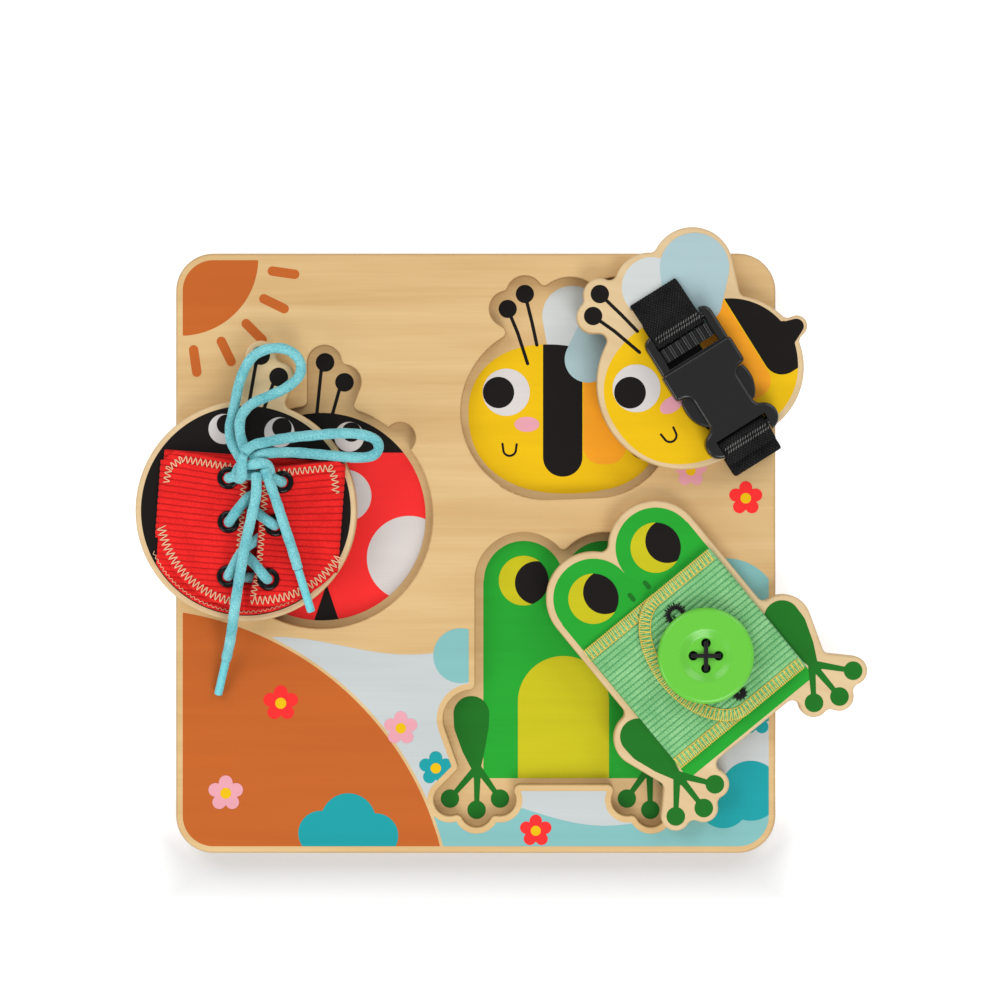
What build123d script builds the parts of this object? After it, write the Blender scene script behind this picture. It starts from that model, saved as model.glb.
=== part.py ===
"""A wooden dressing board for children: a square board with three animal recesses, and three lift-out plates that lie
on it. The ladybird wears a laced vest, the bee a webbing strap with a side-release buckle, and the frog a buttoned
knit. Millimetres, +Z up. The origin is the middle of the board's underside; +Y points away from the viewer.
"""

import os
from math import acos, atan2, cos, degrees, hypot, radians, sin, tan

from build123d import *

# Board: two glued panels, with this much wood left below the lowest recess
BOARD_MARGIN = 10.4
BOARD_CORNER_R = 15.0
BASE_T = 4.0
FRAME_T = 6.0
BOARD_EDGE_R = 1.6
RECESS_EDGE_R = 0.8

# Plates: thickness, rounded rim, play in the recess, and how far concave and convex corners are eased
PLATE_T = 8.0
PLATE_EDGE_R = 1.2
RECESS_PLAY = 0.6
INNER_EASE = 3.0
OUTER_EASE = 1.8

# Where each recess is cut and where each plate lies, as (x, y, turn in degrees)
LADYBIRD_RECESS = (-61.9, 14.6, 0.0)
LADYBIRD_PLACE = (-91.3, 17.0, -4.2)
BEE_RECESS = (12.2, 64.5, 0.0)
BEE_PLACE = (64.0, 65.6, 32.0)
FROG_RECESS = (35.2, -11.1, 0.0)
FROG_PLACE = (59.2, -7.8, 39.4)

# Ladybird outline: body and two feeler lobes
LADYBIRD_R = 44.0
FEELER_R = 6.2
FEELER_A = (1.3, 61.8)
FEELER_B = (9.2, 54.0)
FEELER_ROOT_A = (1.3, 38.0)
FEELER_ROOT_B = (3.0, 38.0)
FINGER_NOTCH_R = 5.6
FINGER_NOTCH_TURN = 45.0

# Bee outline, measured from the middle of its eye
BEE_HEAD = (16.8, -8.0)
BEE_HEAD_R = 34.3
BEE_TAIL = (36.6, -12.9)
BEE_TAIL_R = 28.7
STING_TIP = (67.3, -12.6)
STING_TIP_R = 4.2
STING_ROOT = (58.0, -13.0)
STING_ROOT_R = 6.0
WING_A = (25.5, 31.6)
WING_A_R = 13.8
WING_B = (44.3, 29.0)
WING_B_R = 16.2
WING_ROOT = (44.0, 8.0)
WING_ROOT_R = 9.5
BEE_FEELER_R = 6.6
BEE_FEELER_A = (0.5, 33.3)
BEE_FEELER_B = (7.4, 39.4)
BEE_NECK_A = (13.5, 22.5)
BEE_NECK_B = (13.0, 20.0)
BEE_NECK_R = 4.0

# Frog outline, measured from the middle between its eyes
FROG_EYE_R = 18.8
FROG_EYE_X = 16.0
FROG_BODY_W = 69.6
FROG_BODY_BOTTOM = 80.8
FROG_THIGH = (36.6, -55.2)
FROG_THIGH_R = 11.0
FROG_ANKLE = (35.0, -76.4)
FROG_ANKLE_R = 5.4
FROG_TOE_R = 5.8
FROG_TOES = ((45.6, -87.6), (34.9, -92.1), (25.5, -87.6))

# Vest on the ladybird: side folds, top edge, curved hem, cloth, and the rise of the flaps over the lace
VEST_LEFT = -34.0
VEST_RIGHT = 37.2
VEST_TOP = 22.0
VEST_HEM_R = 41.6
VEST_BACK_T = 1.2
VEST_FLAP_T = 1.4
VEST_FOLD_T = 1.2
VEST_FOLD_R = 0.9
VEST_RISE = 6.0
VEST_CENTRE = 3.4
VEST_HALF_GAP = 2.6

# Eyelets: rows from the top, and half the distance across each row
EYELET_ROWS = (12.5, -4.8, -26.2)
EYELET_REACH = (10.4, 9.0, 7.7)
EYELET_BORE_R = 2.95
EYELET_WALL = 0.35
EYELET_FLANGE_R = 4.4
EYELET_FLANGE_T = 0.9
EYELET_ROLL_R = 3.8
EYELET_ROLL_T = 0.5
EYELET_LIP_R = 0.45

# Lace
LACE_D = 4.2
KNOT_CENTRE = (3.3, 18.8, 13.6)
KNOT_WRAP_R = 3.3
KNOT_CORE_L = 9.6
AGLET_D = 3.3
AGLET_TIP_R = 0.8
BEND_SHARE = 0.45

# Routes of the lace in the ladybird's own frame, with heights from the top of its plate
LACING_ROUTE = [
    (0.4, 17.2, 11.4), (-7.0, 12.5, 11.4), (-7.0, 12.5, 3.4), (1.0, 2.4, 4.4), (5.8, -0.8, 10.8),
    (12.4, -4.8, 11.4), (12.4, -4.8, 3.4), (5.8, -11.2, 4.4), (1.0, -14.4, 10.8), (-4.3, -26.2, 11.4),
    (-4.3, -26.2, 3.4), (11.1, -26.2, 3.4), (11.1, -26.2, 11.4), (5.8, -20.4, 10.8), (1.0, -17.0, 4.4),
    (-5.6, -4.8, 3.4), (-5.6, -4.8, 11.4), (1.0, 5.6, 10.8), (5.8, 8.4, 4.4), (13.8, 12.5, 3.4),
    (13.8, 12.5, 11.4), (6.4, 17.2, 11.4),
]
UPPER_LOOP_ROUTE = [
    (0.4, 21.2, 12.8), (-4.8, 25.9, 10.8), (-7.3, 32.7, 7.6), (-6.6, 40.5, 5.0), (-6.0, 52.0, 3.4),
    (-2.3, 61.2, 2.6), (4.5, 65.3, 2.7), (12.5, 65.4, 3.0), (18.0, 60.7, 3.4), (18.0, 54.6, 3.9),
    (12.8, 49.6, 4.6), (6.0, 45.9, 5.8), (-0.9, 42.2, 8.0), (-4.2, 36.9, 10.6), (-4.6, 30.9, 12.8),
    (-2.6, 25.6, 14.8), (1.0, 20.6, 15.6),
]
RIGHT_LOOP_ROUTE = [
    (4.4, 20.8, 17.0), (7.0, 26.6, 14.2), (13.6, 29.8, 9.4), (25.2, 31.9, 4.4), (37.4, 33.8, 2.8),
    (45.6, 33.4, 1.8), (50.8, 29.6, 1.2), (48.4, 25.2, 1.4), (41.2, 24.1, 2.4), (29.0, 24.4, 3.0),
    (18.0, 25.0, 5.2), (10.8, 24.6, 9.8), (5.6, 21.2, 13.6),
]
LEFT_TAIL_ROUTE = [
    (3.4, 15.4, 16.8), (4.6, 8.0, 16.0), (3.1, -1.0, 15.3), (1.8, -11.4, 15.4), (1.0, -22.0, 15.4),
    (-0.1, -32.6, 13.8), (-0.8, -41.2, 11.4), (-1.6, -48.4, 6.6), (-2.6, -54.4, 0.8), (-3.8, -60.0, -3.0),
]
LEFT_AGLET_TIP = (-6.2, -74.2, -6.2)
RIGHT_TAIL_ROUTE = [
    (7.4, 16.8, 16.0), (9.9, 10.6, 15.4), (12.9, 3.0, 13.2), (16.3, -6.0, 11.6), (20.0, -14.0, 9.4),
    (23.0, -21.7, 8.0),
]
RIGHT_AGLET_TIP = (29.3, -38.0, 6.4)

# Webbing on the bee
STRAP_X = 25.6
STRAP_W = 21.0
STRAP_T = 1.5
STRAP_BEND_R = 1.4
STRAP_SLOT_Y = 28.6
STRAP_SLOT_PLAY = 1.0
STRAP_EDGE_Y = -49.8
STRAP_BACK_LAP = 15.0
STRAP_REBATE_PLAY = 0.2
STRAP_TAIL_L = 8.6
BAR_PLAY = 0.1

# Buckle, lying on the bee with its plug's end at this place along the strap and a little aside of it
BUCKLE_Y = 14.4
BUCKLE_SHIFT = 0.5
BUCKLE_MID_Z = 4.3
PLUG_W = 30.4
PLUG_T = 6.6
PLUG_BASE_L = 15.8
PLUG_CORNER_R = 4.0
PLUG_EDGE_R = 1.4
PLUG_WINDOW_W = 23.0
PLUG_BAR_R = 1.6
PLUG_BAR_V = 3.3
LADDER_V = 6.9
LADDER_L = 5.6
LADDER_T = 3.6
LADDER_RIBS = 7
LADDER_RIB_R = 1.1
PLUG_HEAD_V = 15.2
PLUG_INSERT_L = 3.8
PLUG_INSERT_PLAY = 0.2
GUIDE_W = 7.0
GUIDE_T = 3.4
GUIDE_END_V = 40.0
LATCH_PIVOT_X = 9.2
LATCH_PIVOT_V = 17.8
LATCH_ROOT_R = 1.5
LATCH_ROOT_PLAY = 0.05
LATCH_ARM_W = 2.4
LATCH_T = 5.2
LATCH_END_V = 42.2
LATCH_PAD_START_X = 14.2
LATCH_PAD_X = 15.0
LATCH_PAD_END_X = 11.4
LATCH_PAD_PEAK = 0.4
LATCH_PAD_EDGE_R = 1.2
LATCH_SWING_PLAY = 0.6
LATCH_PAD_PLAY = 0.5
SOCKET_W = 31.6
SOCKET_T = 8.6
SOCKET_NECK_W = 20.4
SOCKET_INNER_EASE = 3.4
SOCKET_CORNER_R = 1.8
SOCKET_EDGE_R = 1.4
EAR_X = 10.2
EAR_V = 50.6
EAR_R = 5.8
CAVITY_W = 27.0
CAVITY_H = 5.8
CAVITY_END_V = 43.2
WINDOW_V = 27.8
WINDOW_L = 14.8
SOCKET_MOUTH_W = 22.4
SOCKET_MOUTH_V = 49.2
SOCKET_BAR_V = 52.8
SOCKET_BAR_R = 1.8

# Knit on the frog
KNIT_LEFT = -32.0
KNIT_RIGHT = 31.0
KNIT_TOP = -13.6
KNIT_BOTTOM = -74.0
KNIT_T = 1.6
KNIT_GAP = 0.15
KNIT_FOLD_R = 1.2
KNIT_FOLD_T = 1.4
FLAP_ROUND_X = 3.0
FLAP_END_X = -16.7
BUTTONHOLE_L = 41.0
BUTTONHOLE_W = 6.4

# Button and its thread
BUTTON_PLACE = (4.0, -45.2)
BUTTON_R = 19.0
BUTTON_T = 4.8
BUTTON_LIFT = 5.4
BUTTON_EDGE_R = 1.7
BUTTON_DISH_R = 10.6
BUTTON_DISH_RUN = 3.2
BUTTON_DISH_DEPTH = 1.5
BUTTON_DISH_EASE = 2.4
BUTTON_HOLE_R = 1.9
BUTTON_HOLE_REACH = 5.0
THREAD_R = 0.85
THREAD_LEG_R = 0.7
THREAD_END_R = 0.6
SHANK_R = 2.4
SHANK_FLARE_H = 1.9

# One overrun serves every cut
OVERRUN = 1.0

# The board is square and centred, and reaches one margin past the frog's toes
BOARD_W = 2 * (BOARD_MARGIN + RECESS_PLAY + FROG_TOE_R - FROG_TOES[1][1] - FROG_RECESS[1])
PLATE_Z = BASE_T + FRAME_T
PLATE_TOP = PLATE_Z + PLATE_T


# Helpers
def disc(place, radius):
    return Pos(*place) * Circle(radius)


def link(place_a, radius_a, place_b, radius_b):
    """Two discs and the straight sides that touch both."""
    run = hypot(place_b[0] - place_a[0], place_b[1] - place_a[1])
    heading = atan2(place_b[1] - place_a[1], place_b[0] - place_a[0])
    lean = acos((radius_a - radius_b) / run)
    corners = []
    for place, radius, side in (
        (place_a, radius_a, 1),
        (place_a, radius_a, -1),
        (place_b, radius_b, -1),
        (place_b, radius_b, 1),
    ):
        turn = heading + side * lean
        corners.append((place[0] + radius * cos(turn), place[1] + radius * sin(turn)))
    return make_face(Polyline(*corners, close=True)) + disc(place_a, radius_a) + disc(place_b, radius_b)


def eased(face, inner, outer):
    """The outline with its concave corners filled to one radius and its convex corners rounded to another."""
    filled = offset(face, inner, kind=Kind.ARC)
    rounded = offset(filled, -inner - outer, kind=Kind.ARC)
    return offset(rounded, outer, kind=Kind.ARC)


def span_box(low, high):
    """A box between two corners."""
    size = [high[i] - low[i] for i in range(3)]
    middle = [(high[i] + low[i]) / 2 for i in range(3)]
    return Pos(*middle) * Box(*size)


def placed(place, height):
    return Pos(place[0], place[1], height) * Rot(0, 0, place[2])


# Outlines of the three animals
def ladybird_outline():
    body = disc((0, 0), LADYBIRD_R)
    feelers = link(FEELER_A, FEELER_R, FEELER_ROOT_A, FEELER_R) + link(FEELER_B, FEELER_R, FEELER_ROOT_B, FEELER_R)
    return eased(body + feelers, INNER_EASE, OUTER_EASE)


def bee_outline():
    body = link(BEE_HEAD, BEE_HEAD_R, BEE_TAIL, BEE_TAIL_R) + link(STING_TIP, STING_TIP_R, STING_ROOT, STING_ROOT_R)
    wings = disc(WING_A, WING_A_R) + link(WING_B, WING_B_R, WING_ROOT, WING_ROOT_R)
    feelers = link(BEE_FEELER_A, BEE_FEELER_R, BEE_NECK_A, BEE_NECK_R)
    feelers += link(BEE_FEELER_B, BEE_FEELER_R, BEE_NECK_B, BEE_NECK_R)
    return eased(body + wings + feelers, INNER_EASE, OUTER_EASE)


def frog_outline():
    body = Pos(0, -FROG_BODY_BOTTOM / 2) * Rectangle(FROG_BODY_W, FROG_BODY_BOTTOM)
    for side in (-1, 1):
        body += disc((side * FROG_EYE_X, 0), FROG_EYE_R)
        ankle = (side * FROG_ANKLE[0], FROG_ANKLE[1])
        body += link((side * FROG_THIGH[0], FROG_THIGH[1]), FROG_THIGH_R, ankle, FROG_ANKLE_R)
        for x, y in FROG_TOES:
            body += link((side * x, y), FROG_TOE_R, ankle, FROG_ANKLE_R)
    return eased(body, INNER_EASE, OUTER_EASE)


# Board
def base_panel():
    panel = extrude(RectangleRounded(BOARD_W, BOARD_W, BOARD_CORNER_R), BASE_T)
    return fillet(panel.faces().sort_by(Axis.Z)[0].edges(), BOARD_EDGE_R)


def recess_cut(outline, place):
    return placed(place, 0) * extrude(offset(outline, RECESS_PLAY, kind=Kind.ARC), FRAME_T)


def finger_notch():
    turn = radians(FINGER_NOTCH_TURN)
    edge = LADYBIRD_R + RECESS_PLAY
    return disc((edge * cos(turn), edge * sin(turn)), FINGER_NOTCH_R)


def frame_panel():
    panel = extrude(RectangleRounded(BOARD_W, BOARD_W, BOARD_CORNER_R), FRAME_T)
    ladybird = eased(ladybird_outline() + finger_notch(), RECESS_EDGE_R, RECESS_EDGE_R)
    for outline, place in ((ladybird, LADYBIRD_RECESS), (bee_outline(), BEE_RECESS), (frog_outline(), FROG_RECESS)):
        panel -= recess_cut(outline, place)
    top = panel.faces().sort_by(Axis.Z)[-1]
    rims = [edge for wire in top.inner_wires() for edge in wire.edges()]
    panel = fillet(rims, RECESS_EDGE_R)
    panel = fillet(panel.faces().sort_by(Axis.Z)[-1].outer_wire().edges(), BOARD_EDGE_R)
    return Pos(0, 0, BASE_T) * panel


# Plates
def plate(outline):
    blank = extrude(outline, PLATE_T)
    return fillet(blank.faces().sort_by(Axis.Z)[-1].edges(), PLATE_EDGE_R)


def strap_rebate(y_low, y_high):
    half = STRAP_W / 2 + STRAP_REBATE_PLAY
    return span_box(
        (STRAP_X - half, y_low, -OVERRUN),
        (STRAP_X + half, y_high, STRAP_T + STRAP_REBATE_PLAY),
    )


def bee_plate():
    blank = plate(bee_outline())
    half_w = (STRAP_W + STRAP_SLOT_PLAY) / 2
    half_t = (STRAP_T + STRAP_SLOT_PLAY) / 2
    blank -= span_box(
        (STRAP_X - half_w, STRAP_SLOT_Y - half_t, -OVERRUN),
        (STRAP_X + half_w, STRAP_SLOT_Y + half_t, PLATE_T + OVERRUN),
    )
    blank -= strap_rebate(STRAP_SLOT_Y - STRAP_BACK_LAP, STRAP_SLOT_Y)
    return blank - strap_rebate(STRAP_EDGE_Y, BEE_HEAD[1] - BEE_HEAD_R + STRAP_BACK_LAP)


# Vest: a back and two flaps folded over from its sides
def vest_region(x_low, x_high):
    upper = span_box((x_low, 0, 0), (x_high, VEST_TOP, PLATE_T + VEST_RISE))
    lower = span_box((x_low, -VEST_HEM_R, 0), (x_high, 0, PLATE_T + VEST_RISE))
    return upper + (lower & Cylinder(VEST_HEM_R, 2 * (PLATE_T + VEST_RISE)))


def vest_back():
    return vest_region(VEST_LEFT, VEST_RIGHT) & span_box(
        (VEST_LEFT, -VEST_HEM_R, 0), (VEST_RIGHT, VEST_TOP, VEST_BACK_T)
    )


def flap_edges(side):
    """The x of a flap's fold and of its inner edge."""
    if side < 0:
        return VEST_LEFT, VEST_CENTRE - VEST_HALF_GAP
    return VEST_RIGHT, VEST_CENTRE + VEST_HALF_GAP


def flap_lean(side):
    fold, edge = flap_edges(side)
    return atan2(VEST_RISE, abs(edge - fold))


def flap_underside(side, x):
    return VEST_BACK_T + abs(x - flap_edges(side)[0]) * tan(flap_lean(side))


def eyelet_seat(side, row):
    """The frame of an eyelet: on the underside of its flap, along the flap's normal."""
    x = VEST_CENTRE + side * EYELET_REACH[row]
    lean = side * degrees(flap_lean(side))
    return Pos(x, EYELET_ROWS[row], flap_underside(side, x)) * Rot(0, lean, 0)


def flap_thickness(side):
    return VEST_FLAP_T * cos(flap_lean(side))


def vest_flap(side):
    fold, edge = flap_edges(side)
    outside = fold + side * VEST_FOLD_T
    section = Polyline(
        (outside, 0),
        (fold, 0),
        (fold, VEST_BACK_T),
        (edge, VEST_BACK_T + VEST_RISE),
        (edge, VEST_BACK_T + VEST_RISE + VEST_FLAP_T),
        (fold, VEST_BACK_T + VEST_FLAP_T),
        (outside, VEST_BACK_T + VEST_FLAP_T - VEST_FOLD_T * tan(flap_lean(side))),
        close=True,
    )
    face = make_face(Plane.XZ * section)
    bend = face.vertices().sort_by(Axis.X)[0 if side < 0 else -2 :]
    bend = [v for v in bend if abs(v.X - outside) < VEST_FOLD_R and v.Z > VEST_BACK_T]
    sheet = extrude(fillet(bend, VEST_FOLD_R), VEST_HEM_R, both=True)
    sheet &= vest_region(min(outside, edge), max(outside, edge))
    for row in range(len(EYELET_ROWS)):
        bore = Cylinder(EYELET_BORE_R + EYELET_WALL, 2 * (VEST_RISE + VEST_FLAP_T))
        sheet -= eyelet_seat(side, row) * bore
    return sheet


def eyelet(side):
    """A rolled eyelet on its own axis: flange above the cloth, barrel through it, roll below it."""
    top = flap_thickness(side)
    outside = EYELET_BORE_R + EYELET_WALL
    section = Polyline(
        (EYELET_BORE_R, -EYELET_ROLL_T),
        (EYELET_ROLL_R, -EYELET_ROLL_T),
        (EYELET_ROLL_R, 0),
        (outside, 0),
        (outside, top),
        (EYELET_FLANGE_R, top),
        (EYELET_FLANGE_R, top + EYELET_FLANGE_T),
        (EYELET_BORE_R, top + EYELET_FLANGE_T),
        close=True,
    )
    face = make_face(Plane.XZ * section)
    lips = [v for v in face.vertices() if v.Z > top]
    return revolve(fillet(lips, EYELET_LIP_R), Axis.Z)


# Lace
def bend_radii(points):
    """Each corner's radius: a share of the shorter run beside it over the tangent of half the turn."""
    corners = [Vector(*p) for p in points]
    radii = []
    for before, here, after in zip(corners, corners[1:], corners[2:]):
        turn = (here - before).get_angle(after - here)
        run = min((here - before).length, (after - here).length)
        radii.append(BEND_SHARE * run / tan(radians(turn) / 2))
    return radii


def tube(name, points, diameter):
    radii = bend_radii(points)
    path = FilletPolyline(*points, radius=radii)
    start = Plane(origin=points[0], z_dir=Vector(*points[1]) - Vector(*points[0]))
    solid = sweep(start * Circle(diameter / 2), path=path)
    expected = path.length * Circle(diameter / 2).area
    print(name, "length", round(path.length, 1), "volume share", round(solid.volume / expected, 3))
    print(name, "bend radii", [round(r, 1) for r in radii])
    return solid


def lace_knot():
    """A wrap of the lace round the crossed strands, drawn tight on their core."""
    core = Rot(0, 90, 0) * Cylinder(KNOT_WRAP_R, KNOT_CORE_L)
    core = fillet(core.edges(), KNOT_WRAP_R - LACE_D / 2)
    wrap = Rot(0, 90, 0) * Torus(KNOT_WRAP_R, LACE_D / 2)
    return Pos(*KNOT_CENTRE) * (core + wrap)


def aglet(start, tip):
    """The sealed end of the lace, from the end of its tail."""
    run = Vector(*tip) - Vector(*start)
    blank = Plane(origin=start, z_dir=run) * extrude(Circle(AGLET_D / 2), run.length)
    tip_edge = blank.edges().filter_by(GeomType.CIRCLE).sort_by_distance(tip)[0]
    return fillet([tip_edge], AGLET_TIP_R)


# Webbing, as a strip carried along its path in the plane of the strap
def strap(points, radii):
    path = FilletPolyline(*[(STRAP_X, y, z) for y, z in points], radius=radii)
    first = Vector(STRAP_X, *points[0])
    second = Vector(STRAP_X, *points[1])
    start = Plane(origin=first, x_dir=(1, 0, 0), z_dir=second - first)
    return sweep(start * Rectangle(STRAP_W, STRAP_T), path=path)


def bar_loop_radius(bar_r):
    return bar_r + BAR_PLAY + STRAP_T / 2


def strap_back_z():
    return STRAP_T / 2 + STRAP_REBATE_PLAY / 2 - PLATE_T


def upper_strap():
    bend = bar_loop_radius(PLUG_BAR_R)
    inner = BUCKLE_Y - PLUG_BAR_V - bend
    low = BUCKLE_MID_Z - bend
    points = [
        (STRAP_SLOT_Y - STRAP_BACK_LAP + STRAP_REBATE_PLAY, strap_back_z()),
        (STRAP_SLOT_Y, strap_back_z()),
        (STRAP_SLOT_Y, STRAP_T),
        (inner + 2 * bend, BUCKLE_MID_Z + bend),
        (inner, BUCKLE_MID_Z + bend),
        (inner, low),
        (BUCKLE_Y + STRAP_TAIL_L - PLUG_BAR_V, low),
    ]
    turn = bend - BAR_PLAY
    return strap(points, [STRAP_BEND_R, STRAP_BEND_R, turn, turn, turn])


def lower_strap():
    bend = bar_loop_radius(SOCKET_BAR_R)
    inner = BUCKLE_Y - SOCKET_BAR_V + bend
    low = BUCKLE_MID_Z - bend
    back_end = BEE_HEAD[1] - BEE_HEAD_R + STRAP_BACK_LAP - STRAP_REBATE_PLAY
    points = [
        (back_end, strap_back_z()),
        (STRAP_EDGE_Y, strap_back_z()),
        (STRAP_EDGE_Y, BUCKLE_MID_Z),
        (inner - 2 * bend, BUCKLE_MID_Z + bend),
        (inner, BUCKLE_MID_Z + bend),
        (inner, low),
        (inner - STRAP_TAIL_L, low),
    ]
    turn = bend - BAR_PLAY
    return strap(points, [STRAP_BEND_R, STRAP_BEND_R, turn, turn, turn])


# Buckle, in its own frame: X across, Y along from the plug's end, Z up from the plate
def buckle_placed(shape):
    return Pos(STRAP_X + BUCKLE_SHIFT, BUCKLE_Y, 0) * Rot(0, 0, 180) * shape


def cross_bar(v, radius, length):
    return Pos(0, v, BUCKLE_MID_Z) * Rot(0, 90, 0) * Cylinder(radius, length)


def slab(width, v_low, v_high, height):
    """A box across the buckle, centred on its mid plane."""
    half = width / 2
    low = BUCKLE_MID_Z - height / 2
    return span_box((-half, v_low, low), (half, v_high, low + height))


def ladder():
    """The ribbed bar of the plug."""
    bar = slab(PLUG_WINDOW_W, LADDER_V, LADDER_V + LADDER_L, LADDER_T)
    pitch = PLUG_WINDOW_W / LADDER_RIBS
    top = BUCKLE_MID_Z + LADDER_T / 2
    for i in range(LADDER_RIBS):
        x = (i - (LADDER_RIBS - 1) / 2) * pitch
        bar += Pos(x, LADDER_V + LADDER_L / 2, top) * Rot(90, 0, 0) * Cylinder(LADDER_RIB_R, LADDER_L)
    return bar


def buckle_plug():
    base = Pos(0, PLUG_BASE_L / 2) * RectangleRounded(PLUG_W, PLUG_BASE_L, PLUG_CORNER_R)
    base += Pos(0, PLUG_BASE_L * 3 / 4) * Rectangle(PLUG_W, PLUG_BASE_L / 2)
    body = Pos(0, 0, BUCKLE_MID_Z - PLUG_T / 2) * extrude(base, PLUG_T)
    body = fillet(body.faces().sort_by(Axis.Z)[-1].edges().sort_by(Axis.Y)[:-1], PLUG_EDGE_R)
    body -= slab(PLUG_WINDOW_W, -OVERRUN, PLUG_HEAD_V, 2 * PLUG_T)
    body += cross_bar(PLUG_BAR_V, PLUG_BAR_R, PLUG_WINDOW_W + 2 * PLUG_BAR_R)
    body += ladder()
    insert_end = PLUG_BASE_L + PLUG_INSERT_L
    body += slab(CAVITY_W - 2 * PLUG_INSERT_PLAY, PLUG_BASE_L, insert_end, CAVITY_H - PLUG_INSERT_PLAY)
    guide = slab(GUIDE_W, PLUG_BASE_L, GUIDE_END_V, GUIDE_T)
    body += fillet(guide.faces().sort_by(Axis.Y)[-1].edges().filter_by(Axis.Z), GUIDE_W / 3)
    for side in (-1, 1):
        hole = Cylinder(LATCH_ROOT_R + LATCH_ROOT_PLAY, 2 * PLUG_T)
        body -= Pos(side * LATCH_PIVOT_X, LATCH_PIVOT_V, BUCKLE_MID_Z) * hole
        half = LATCH_ARM_W / 2 + LATCH_SWING_PLAY
        body -= span_box(
            (side * LATCH_PIVOT_X - half, LATCH_PIVOT_V, 0),
            (side * LATCH_PIVOT_X + half, insert_end + OVERRUN, SOCKET_T),
        )
    return body


def latch(side):
    """One spring arm: a round root, a straight arm and the pad that stands in the socket's side window."""
    root = disc((LATCH_PIVOT_X, LATCH_PIVOT_V), LATCH_ROOT_R)
    arm_l = LATCH_END_V - LATCH_PIVOT_V
    arm = Pos(LATCH_PIVOT_X, LATCH_PIVOT_V + arm_l / 2) * Rectangle(LATCH_ARM_W, arm_l)
    pad_low = WINDOW_V + LATCH_PAD_PLAY
    pad_high = WINDOW_V + WINDOW_L - LATCH_PAD_PLAY
    peak = (LATCH_PAD_X, pad_low + LATCH_PAD_PEAK * (pad_high - pad_low))
    first = (LATCH_PAD_START_X, pad_low)
    last = (LATCH_PAD_END_X, pad_high)
    curve = ThreePointArc(first, peak, last)
    chord = Polyline(last, (LATCH_PIVOT_X, pad_high), (LATCH_PIVOT_X, pad_low), first)
    outline = root + arm + make_face(curve + chord)
    solid = Pos(0, 0, BUCKLE_MID_Z - LATCH_T / 2) * extrude(outline, LATCH_T)
    rim = solid.faces().sort_by(Axis.Z)[-1].edges().sort_by_distance((LATCH_PAD_X, peak[1], SOCKET_T))[0]
    solid = fillet([rim], LATCH_PAD_EDGE_R)
    if side < 0:
        solid = mirror(solid, Plane.YZ)
    return solid


def socket_outline():
    """Wide shoulders, a narrow neck between the two pads, and round ears."""
    shoulder_l = WINDOW_V - PLUG_BASE_L
    neck_l = EAR_V - WINDOW_V
    outline = Pos(0, PLUG_BASE_L + shoulder_l / 2) * Rectangle(SOCKET_W, shoulder_l)
    outline += Pos(0, WINDOW_V + neck_l / 2) * Rectangle(SOCKET_NECK_W, neck_l)
    outline += link((-EAR_X, EAR_V), EAR_R, (EAR_X, EAR_V), EAR_R)
    return eased(outline, SOCKET_INNER_EASE, SOCKET_CORNER_R)


def buckle_socket():
    body = extrude(socket_outline(), SOCKET_T)
    body = fillet(body.faces().sort_by(Axis.Z)[-1].edges(), SOCKET_EDGE_R)
    body -= slab(CAVITY_W, PLUG_BASE_L - OVERRUN, CAVITY_END_V, CAVITY_H)
    body -= slab(2 * SOCKET_W, WINDOW_V, WINDOW_V + WINDOW_L, CAVITY_H)
    body -= slab(SOCKET_MOUTH_W, SOCKET_MOUTH_V, EAR_V + EAR_R + OVERRUN, 2 * SOCKET_T)
    return body + cross_bar(SOCKET_BAR_V, SOCKET_BAR_R, SOCKET_MOUTH_W + 2 * SOCKET_BAR_R)


# Knit
def knit_panel():
    return span_box((KNIT_LEFT, KNIT_BOTTOM, 0), (KNIT_RIGHT, KNIT_TOP, KNIT_T))


def knit_flap():
    """The flap folds over at the right and has a round free end, with an upright buttonhole in it."""
    middle = (KNIT_TOP + KNIT_BOTTOM) / 2
    height = KNIT_TOP - KNIT_BOTTOM
    outside = KNIT_RIGHT + KNIT_FOLD_T
    low = KNIT_T + KNIT_GAP
    straight = outside - FLAP_ROUND_X
    outline = Pos(FLAP_ROUND_X + straight / 2, middle) * Rectangle(straight, height)
    outline += Pos(FLAP_ROUND_X, middle) * Ellipse(FLAP_ROUND_X - FLAP_END_X, height / 2)
    outline -= Pos(*BUTTON_PLACE) * Rot(0, 0, 90) * SlotOverall(BUTTONHOLE_L, BUTTONHOLE_W)
    flap = Pos(0, 0, low) * extrude(outline, KNIT_T)
    flap += span_box((KNIT_RIGHT, KNIT_BOTTOM, 0), (outside, KNIT_TOP, low + KNIT_T))
    corner = flap.edges().filter_by(Axis.Y).group_by(Axis.Z)[-1].sort_by(Axis.X)[-1]
    return fillet([corner], KNIT_FOLD_R)


# Button
def hole_places():
    return PolarLocations(BUTTON_HOLE_REACH, 4)


def button():
    section = Polyline(
        (0, 0),
        (BUTTON_R, 0),
        (BUTTON_R, BUTTON_T),
        (BUTTON_DISH_R, BUTTON_T),
        (BUTTON_DISH_R - BUTTON_DISH_RUN, BUTTON_T - BUTTON_DISH_DEPTH),
        (0, BUTTON_T - BUTTON_DISH_DEPTH),
        close=True,
    )
    face = make_face(Plane.XZ * section)
    rim = [v for v in face.vertices() if v.X > BUTTON_R - BUTTON_EDGE_R]
    face = fillet(rim, BUTTON_EDGE_R)
    dish = [v for v in face.vertices() if OVERRUN < v.X < BUTTON_DISH_R + OVERRUN and v.Z > OVERRUN]
    solid = revolve(fillet(dish, BUTTON_DISH_EASE), Axis.Z)
    return solid - [spot * Cylinder(BUTTON_HOLE_R, 2 * BUTTON_T + OVERRUN) for spot in hole_places()]


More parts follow.
